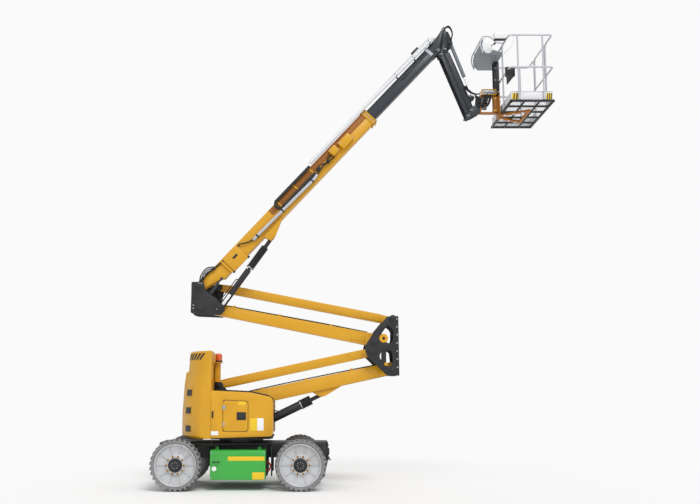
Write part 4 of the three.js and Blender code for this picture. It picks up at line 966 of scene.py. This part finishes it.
def chain_link():
    """One link about the origin, along X: two side plates, a bar above and one below, and its pin."""
    top = link_height / 2
    plates = [block(-pitch * 0.55, pitch * 0.5, y, y + 7, -top, top, 3) for y in (chain_y0, chain_y1 - 7)]
    bars = [block(-10, 10, chain_y0 + 6, chain_y1 - 6, z, z + 5, 1.5) for z in (-top, top - 5)]
    pin = rod((-pitch * 0.4, chain_y0 - 3, 0), (-pitch * 0.4, chain_y0 + 3, 0), 9, 12)
    return joined([*plates, *bars, pin])


low_run = [(x, -bend_radius, 0) for x in range(low_end, bend_x, -pitch)]
turns = [math.radians(-90 - 180 * i / 5) for i in range(6)]
arc = [(bend_x + bend_radius * math.cos(a), bend_radius * math.sin(a), a + math.pi / 2) for a in turns]
high_run = [(x, bend_radius, 0) for x in range(bend_x + pitch, high_end, pitch)]
first = chain_link()
links = []
for x, z, a in [*low_run, *arc, *high_run]:
    links.append(copied(first, Matrix.Translation((x * MM, 0, z * MM)) @ Matrix.Rotation(-a, 4, "Y")))
bpy.data.objects.remove(first)
fit(links, "energy_chain", "nylon", "main_boom", 35, ["cable_carrier"])
print(len(links), "chain links")

# %% Trough, supply tubes and cover boxes
trough = [block(1950, 3560, -107, -95, -118, -103, 3),
          *[block(s, s + 30, -112, -95, -118, 60, 3) for s in (1990, 2400, 2800)]]
fit(trough, "chain_trough", "yellow", "main_boom")
supply = tube([(1240, -120, -104), (1300, -150, -104), (2760, -150, -138), (2830, -140, -120)], 26, 60, 4)
fit([supply], "supply_tube_lower", "rail", "main_boom")
branches = [tube([(2820, -150, -130), (2960, -160, -90), (3080, -150, -100), (3180, -150, -60),
                  (3270, -140, -70)], 13, 120),
            tube([(2860, -140, -60), (2990, -150, -40), (3100, -160, -110), (3280, -150, -130)], 11, 120),
            block(2890, 2960, -150, -95, -110, -56, 6), block(3105, 3170, -150, -95, -124, -76, 6)]
fit(branches, "boom_valve_hoses", "rubber", "main_boom")
clips = [block(s - 14, s + 14, -182, -95, n - 30, n + 30, 6) for s,
         n in ((1330, -106), (1950, -118), (2690, -136))]
fit(clips, "supply_tube_clips", "charcoal", "main_boom")
boxes = [block(3268, 3420, -190, -95, -110, 24, 8), block(3481, 3744, -176, -95, -150, 0, 8)]
fit(boxes, "boom_cover_boxes", "yellow", "main_boom")
fit([bolt((s, -190 if s < 3450 else -176, n), right, 8) for s,
     n in ((3290, 0), (3400, -90), (3500, -20), (3725, -130))],
    "boom_cover_bolts", "zinc", "main_boom")
collar = []
for x in (collar_start, collar_end - 8):
    collar += [block(x - 10, x + 10, -112, 112, z, z + 14, 3) for z in (82, -226)]
    collar += [block(x - 10, x + 10, y, y + 14, -226, 96, 3) for y in (-112, 98)]
fit(collar, "boom_collar_flanges", "yellow", "main_boom")
fit([bolt((4226, side * 104, n), outward[side], 10) for side in (-1, 1) for n in range(-190, 80, 62)],
    "boom_collar_bolts", "zinc", "main_boom")
cover = [block(615, 968, -122, -95, -250, 66, 10), block(560, 600, -126, -95, -230, 60, 8)]
fit(cover, "boom_foot_cover", "yellow", "main_boom")
# Black blocks on the foot cover: painted shade standing for its slot.
fit([block(760, 860, -126, -120, -90, -50, 6), block(585, 625, -128, -95, -262, -228, 6),
     block(943, 983, -128, -95, -262, -228, 6)],
    "boom_foot_slot_shades", "nylon", "main_boom")
caps = [pin_cap((0, -188, 0), right, 44), pin_cap((0, 136, 0), left, 44)]
fit(caps, "boom_pin_caps", "charcoal", "main_boom")
hoses = [tube([(60, -176 + 24 * i, -190), (-110 - 12 * i, -176 + 24 * i, -60),
               (-90 - 12 * i, -176 + 24 * i, 70), (330, -112 - 12 * i, 66), (640, -110, 20)], 12, 200)
               for i in range(3)]
hoses.append(tube([(960, -112, 10), (1010, -128, 30), (1120, -128, -60), (1250, -120, -100)], 12, 90))
fit(hoses, "boom_foot_hoses", "rubber", "main_boom")

# %% Fly: supply tube, slot cover and clips
fly_y = -145
upper_tube = tube([(2898, fly_y, 108), (4360, fly_y, 104), (6080, fly_y, 72)], 34, 200, 5)
fit([upper_tube], "supply_tube_upper", "white", "fly_boom", 35, ["fly_supply_tube"])
clips = [block(s - 14, s + 14, fly_y - 30, -78, n - 30, n + 30, 6) for s,
         n in ((5100, 92), (5560, 82), (5960, 72))]
clips += [block(s - 8, s + 8, -118, -78, n - 60, n - 30, 3) for s, n in ((5100, 92), (5560, 82), (5960, 72))]
fit(clips, "fly_tube_clips", "charcoal", "fly_boom")
fit([block(5154, 5412, -88, -78, -58, -20, 8), block(5580, 5750, fly_y - 12, fly_y + 12, 128, 168, 6)],
    "fly_covers", "charcoal", "fly_boom")
fit([block(4300, 5860, -82, -77, -166, -52, 2)], "fly_side_plate", "slate", "fly_boom")
pads = [block(4262, 4290, y, y + 13, z, z + 60, 3) for y in (-92, 79) for z in (-170, 0)]
fit(pads, "wear_pads", "nylon", "main_boom")

# %% [markdown]
# ## Tip, jib and rotator
# The jib is a parallelogram: as it swings, its links keep the head upright. The head carries a rotary
# actuator between two arms, which turns the platform from side to side.

# %% Tip hoses and pins
fit([pin_cap((x, side * 100 if z < 0 else side * 60, z), outward[side], 26) for side in (-1, 1)
     for x, z in ((131, 29), (240, 159), (61, -86))], "tip_pin_caps", "cast", "tip_yoke")
fit([pin_cap((0, side * 78, 0), outward[side], 32) for side in (-1, 1)], "tip_main_pin_caps", "cast",
    "fly_boom", place=places["tip_yoke"])
loops = [tube([(60, -80 - 16 * i, 60), (100, -92 - 16 * i, 380), (190, -92 - 16 * i, 450 + 16 * i),
               (270, -84 - 12 * i, 330), (225, -76 - 12 * i, 150), (180, -70, 20)], 12, 90) for i in range(2)]
fit(loops, "tip_hose_loop", "rubber", "tip_yoke")

# %% Jib hoses, rod end and link pins
hoses = [tube([(30, -58 - 5 * i, -46 - 18 * i), (300, -62, -60 - 14 * i), (900, -62, -60 - 14 * i),
               (1190, -58, -40 - 20 * i)], 10, 120)
         for i in range(3)]
hoses += [tube([(60, 20 * i - 20, 52), (420, 20 * i - 20, 58), (800, 20 * i - 20, 56),
                (1180, 20 * i - 20, 52)], 10, 90) for i in range(3)]
fit(hoses, "jib_hoses", "rubber", "jib_arm")
fit([block(s, s + 30, -76, 44, -100, -42, 4) for s in (280, 860)], "jib_hose_clamps", "charcoal", "jib_arm")
fit([pin_cap((x, side * (108 if z < 0 else 60), z), outward[side], 26) for side in (-1, 1) for x,
     z in ((0, 0), (-70, -115))],
    "head_pin_caps", "cast", "jib_head")

# %% Head: valve block, hose bundle and the rotator's arms
valve = [block(196, 420, -70, 40, 296, 372, 6)]
valve += [rod((x, -70, 334), (x, -104, 334), 16, 20, 2) for x in (230, 280, 330, 380)]
valve += [rod((x, -20, 370), (x, -20, 398), 13, 6, 2) for x in (240, 300, 360)]
fit(valve, "valve_block", "zinc", "jib_head")
frame_bars = [tube([(180, y, 288), (180, y, 380), (436, y, 380), (436, y, 288)], 8, 16) for y in (-78, 48)]
fit([*frame_bars, block(176, 440, -82, 52, 286, 294, 2)], "valve_frame", "yellow", "jib_head")
bundle = [tube([(60 + 14 * i, -60 + 24 * (i % 4), 300 - 10 * i), (100, -90 + 22 * (i % 4), 160),
                (120 + 30 * i, -96 + 22 * (i % 4), 60), (210 + 22 * i, -84 + 22 * (i % 4), 140),
                (230 + 26 * i, -60, 300)], 11, 90) for i in range(6)]
bundle += [tube([(70, -92 + 14 * i, 262 - 24 * i), (150 + 8 * i, -100 + 10 * i, 210 - 30 * i),
                 (262, -90 + 12 * i, 170 - 24 * i), (286, -80 + 12 * i, 296)],
                12, 60) for i in range(7)]
fit(bundle, "head_hose_bundle", "rubber", "jib_head")
jib_to_head = [tube([(-130 + 12 * i, -78 - 14 * i, 440), (-60 + 12 * i, -92 - 12 * i, 330),
                     (60, -96 - 10 * i, 280), (150, -80, 300)], 10, 80)
               for i in range(3)]
fit(jib_to_head, "jib_to_head_hoses", "rubber", "jib_head")

# %% Rotator
actuator = turned([
    (24, -14), (46, -14), (50, -8), (50, 28), (44, 34), (44, 100), (47, 104), (47, 140), (44, 144),
    (44, 210), (50, 216), (50, 250), (46, 256), (24, 256),
], 48)
fit([actuator], "rotary_actuator", "yellow", "platform")
ring_bolts = bolt_circle(50, 10, 8, 6, upright=False) + bolt_circle(50, 234, 8, 6, upright=False)
fit(ring_bolts, "rotary_actuator_bolts", "zinc", "platform")
holes = []
for side in (-1, 1):
    for t in (0.2, 0.5, 0.8):
        x, y = 46 + t * 458, side * (54 + t * 246)
        holes.append(rod((x, y, -108), (x, y, -105), 26 - 8 * t, 28))
fit(holes, "fork_holes", "vinyl", "platform")

# %% [markdown]
# ## Platform
# The platform is a cage of round steel tube, bent and welded, on a light floor of expanded metal that
# lets rain and dust through. A toe board keeps tools from rolling off, and a gate opens inwards only.

# %% Guard rails
floor_top = -36
rail_radius = 16
x_near, x_far, y_side = 88, 830, 696
gate_low, gate_high = -290, 355
top_rail, mid_rail = floor_top + 1145, floor_top + 575
low = floor_top + 1


def rail(z, drop):
    """A rail all round the platform from one gate post to the other; the ends may turn down to the floor."""
    line = [(x_far, gate_low, z), (x_far, -y_side, z), (x_near, -y_side, z), (x_near, y_side, z),
            (x_far, y_side, z), (x_far, gate_high, z)]
    if drop:
        line = [(x_far, gate_low, low), *line, (x_far, gate_high, low)]
    return tube(line, rail_radius, 85, 4)


side_posts = [(x, y) for y in (-y_side, y_side) for x in (x_near + 146, x_far - 170)]
posts = [tube([(x, y, low), (x, y, top_rail)], rail_radius - 1, 0, 4) for x,
         y in (*side_posts, (x_near, -250), (x_near, 250))]
feet = [block(x - 26, x + 26, y - 20, y + 20, low - 1, low + 6) for x, y in side_posts]
fit([rail(top_rail, True), rail(mid_rail, False), *posts, *feet], "guard_rail_tubes", "rail", "platform", 40,
    ["guard_rails"])

# %% Toe boards with hazard ends
board_height = 150
boards = [block(108, 814, side * 674 - 1.5, side * 674 + 1.5, low, low + board_height, 1) for side in (-1, 1)]
boards += [block(106, 109, -674, 674, low, low + board_height, 1),
           block(811, 814, -674, gate_low, low, low + board_height, 1),
           block(811, 814, gate_high, 674, low, low + board_height, 1)]
boards += [block(108, 814, *sorted((side * 674, side * 684)), low + board_height - 4, low + board_height, 1)
           for side in (-1, 1)]
fit(boards, "toe_board_sheets", "white", "platform", 30, ["toe_boards"])


def hazard(x0, x1, y, coat, odd):
    """Slanted bars of one colour along a toe board's end."""
    count = 6
    step = (x1 - x0) / count
    bars = []
    for i in range(odd, count, 2):
        u = x0 + step * i
        bars.append(sheet([(u, low + 8), (u + step, low + 8), (u + step + 12, low + 120),
                           (u + 12, low + 120)], "y", y, y + 2.4))
    return fit(bars, f"hazard_{coat}_{round(x0)}_{'right' if y < 0 else 'left'}", coat, "platform")


for y in (-677.4, 675):
    for x0, x1 in ((112, 250), (690, 790)):
        hazard(x0, x1, y, "yellow_vinyl", 0)
        hazard(x0, x1, y, "nylon", 1)

# %% Floor
x0, x1, half = 84, 834, 700
rim_width = 36
edges = [block(x0, x1, y, y + rim_width, -72, -37, 4) for y in (-half, half - rim_width)]
edges += [block(x, x + rim_width, -half, half, -72, -37, 4) for x in (x0, x1 - rim_width)]
edges += [block(x0, x1, y - 15, y + 15, -70, -41, 3) for y in (-420, -140, 140, 420)]
edges += [block(x - 12, x + 12, -half, half, -70, -41, 3) for x in (330, 590)]
fit(edges, "floor_frame", "nylon", "platform", 35, ["platform_floor"])


def strands(direction, spacing=46, width=5):
    """Slanted strands of expanded metal across the floor, clipped to its frame."""
    made = []
    run = half * direction
    base = x0 - abs(run)
    while base < x1 + abs(run):
        a, b = Vector((base, -half + 10, -39)), Vector((base + run, half - 10, -39))
        cuts = sorted(max(0.0, min(1.0, (edge - a.x) / (b.x - a.x))) for edge in (x0 + 8, x1 - 8))
        start, end = a.lerp(b, cuts[0]), a.lerp(b, cuts[1])
        if (end - start).length > 30:
            made.append(rod(start, end, width / 2, 4))
        base += spacing
    return made


mesh = joined([*strands(1), *strands(-1)])
fit([mesh], "expanded_metal_floor", "zinc", "platform", 20)

# %% Gate
clear = 2 * rail_radius + 4
gate_start, gate_end, gate_sill = gate_low + clear, gate_high - clear, mid_rail + 2
loop = tube([(x_far, gate_start, gate_sill), (x_far, gate_start, top_rail), (x_far, gate_end, top_rail),
             (x_far, gate_end, gate_sill), (x_far, gate_start, gate_sill)], 14, 60, 4)
hinges = [block(x_far - 12, x_far + 12, gate_low + 8, gate_start, z - 18, z + 18, 3)
          for z in (mid_rail + 60, top_rail - 90)]
fit([loop, *hinges], "gate_loop", "rail", "platform_gate", 40, ["platform_gate"])
latch = [block(x_far - 14, x_far + 14, gate_end - 8, gate_high - 18, 380, 420, 4),
         rod((x_far, gate_high - 34, 420), (x_far, gate_high - 34, 452), 7, 16, 2)]
fit(latch, "gate_latch", "nylon", "platform_gate")

# %% Console, its panel and the boxes that hang on the rails
console = sheet([(-301, 1088), (-269, 1211), (-184, 1199), (-96, 998), (64, 954), (64, 900), (-216, 900),
                 (-292, 973)],
                "y", -360, 340, 14)
fit([console], "console_housing", "abs", "platform", 35, ["control_console"])
panel = sheet([(-180, 1194), (-100, 1010), (-94, 1013), (-174, 1197)], "y", -330, 310, 3)
near_end = sheet([(-262, 1202), (-190, 1192), (-102, 992), (-150, 930), (-216, 930), (-278, 990),
                  (-290, 1080)], "y", -366, -359, 2)
fit([panel, near_end], "console_panel", "vinyl", "platform")
sticks = []
for y in (-250, 0, 230):
    boot, stem = rod((-132, y, 1096), (-104, y, 1110), 30, 24, 4), rod((-108, y, 1108), (-50, y, 1150), 6, 12)
    sticks += [boot, stem, rod((-58, y, 1142), (-26, y, 1166), 17, 20, 6)]
fit(sticks, "joysticks", "nylon", "platform")
buttons = []
for i in range(7):
    x, y, z = -150 + 14 * (i % 3), -180 + 60 * i, 1136 - 32 * (i % 3)
    buttons.append(rod((x, y, z), (x + 18, y, z + 8), 9, 16, 1))
fit(buttons, "console_switches", "nylon", "platform")
stop = turned([(0.01, 0), (12, 0), (12, 12), (22, 16), (22, 26), (16, 32), (0.01, 32)], 28)
fit([stop], "stop_button", "red_cable", "platform",
    place=places["platform"] @ Matrix.Translation(Vector((-222, -290, 1203)) * MM))
hoop = ((-280, 930), (-330, 1080), (-290, 1240), (-130, 1225), (-60, 1120), (70, top_rail))
guard = [tube([(x, y, z) for x, z in hoop], 12, 60, 4) for y in (-372, 352)]
bridge = tube([(-310, -372, 1180), (-310, 352, 1180)], 12, 0, 4)
fit([*guard, bridge], "console_guard", "rail", "platform")
fit([block(-132, 66, -600, -520, 1092, 1208, 8)], "document_box", "vinyl", "platform")
fit([block(-130, 64, -598, -522, 1078, 1094, 4), block(-60, 74, -600, -592, 1070, 1080, 2)],
    "document_box_base", "nylon", "platform")
fit([block(51, 206, -600, -520, 436, 586, 8)], "rail_box", "charcoal", "platform")
bracket = sheet([(52, 436), (204, 436), (56, 254)], "y", -598, -590, 2)
fit([bracket, block(50, 206, -600, -520, 428, 437, 2)], "rail_box_bracket", "nylon", "platform")
loom = tube([(110, -708, 1100), (172, -716, 1060), (156, -716, 950), (90, -706, 860), (10, -640, 800)], 8,
            90, 3)
fit([loom], "rail_box_cable", "vinyl", "platform")
post_bolts = [bolt((x, side * 66, z), outward[side], 9) for side in (-1, 1) for x in (0, 50)
              for z in (340, 560, 780)]
fit(post_bolts, "mount_post_bolts", "zinc", "platform")
fit([block(61, 70, -88, 88, -60, 300, 4)], "mount_face_plate", "yellow", "platform")
bolts = [bolt((70.5, y, z), (1, 0, 0), 11) for y in (-78, 78) for z in (-30, 60, 160, 260)]
fit(bolts, "mount_face_bolts", "zinc", "platform")
print(len(finished), "pieces in all")

# %% [markdown]
# ## Floor
# The floor is pale and plain and keeps a soft shadow; away from the machine it fades into the backdrop.

# %% Floor
bpy.ops.object.select_all(action="DESELECT")
bpy.ops.mesh.primitive_plane_add(size=120, location=(0, 0, -0.001))
floor = bpy.context.object
floor.name = "studio_floor"
floor_paint = bpy.data.materials.new("matt_studio_floor")
floor_paint.use_nodes = True
tree = floor_paint.node_tree
tree.nodes.clear()
where = add(tree, "ShaderNodeTexCoord")
away = add(tree, "ShaderNodeVectorMath", links={0: (where, "Object")}, operation="LENGTH")
fade = add(tree, "ShaderNodeMapRange", {"From Min": 3.5, "From Max": 8.0}, {"Value": (away, "Value")},
           interpolation_type="SMOOTHSTEP")
matt = add(tree, "ShaderNodeBsdfDiffuse", {"Color": linear("F4F4F4")})
glow = add(tree, "ShaderNodeEmission", {"Color": backdrop, "Strength": 1})
rays = add(tree, "ShaderNodeLightPath")
share = add(tree, "ShaderNodeMath", links={0: (fade, "Result"), 1: (rays, "Is Camera Ray")},
            operation="MULTIPLY")
blend = add(tree, "ShaderNodeMixShader", links={0: (share, 0), 1: (matt, 0), 2: (glow, 0)})
add(tree, "ShaderNodeOutputMaterial", links={"Surface": (blend, 0)})
floor.data.materials.append(floor_paint)

# %% The end
print(len(finished), "pieces in all")
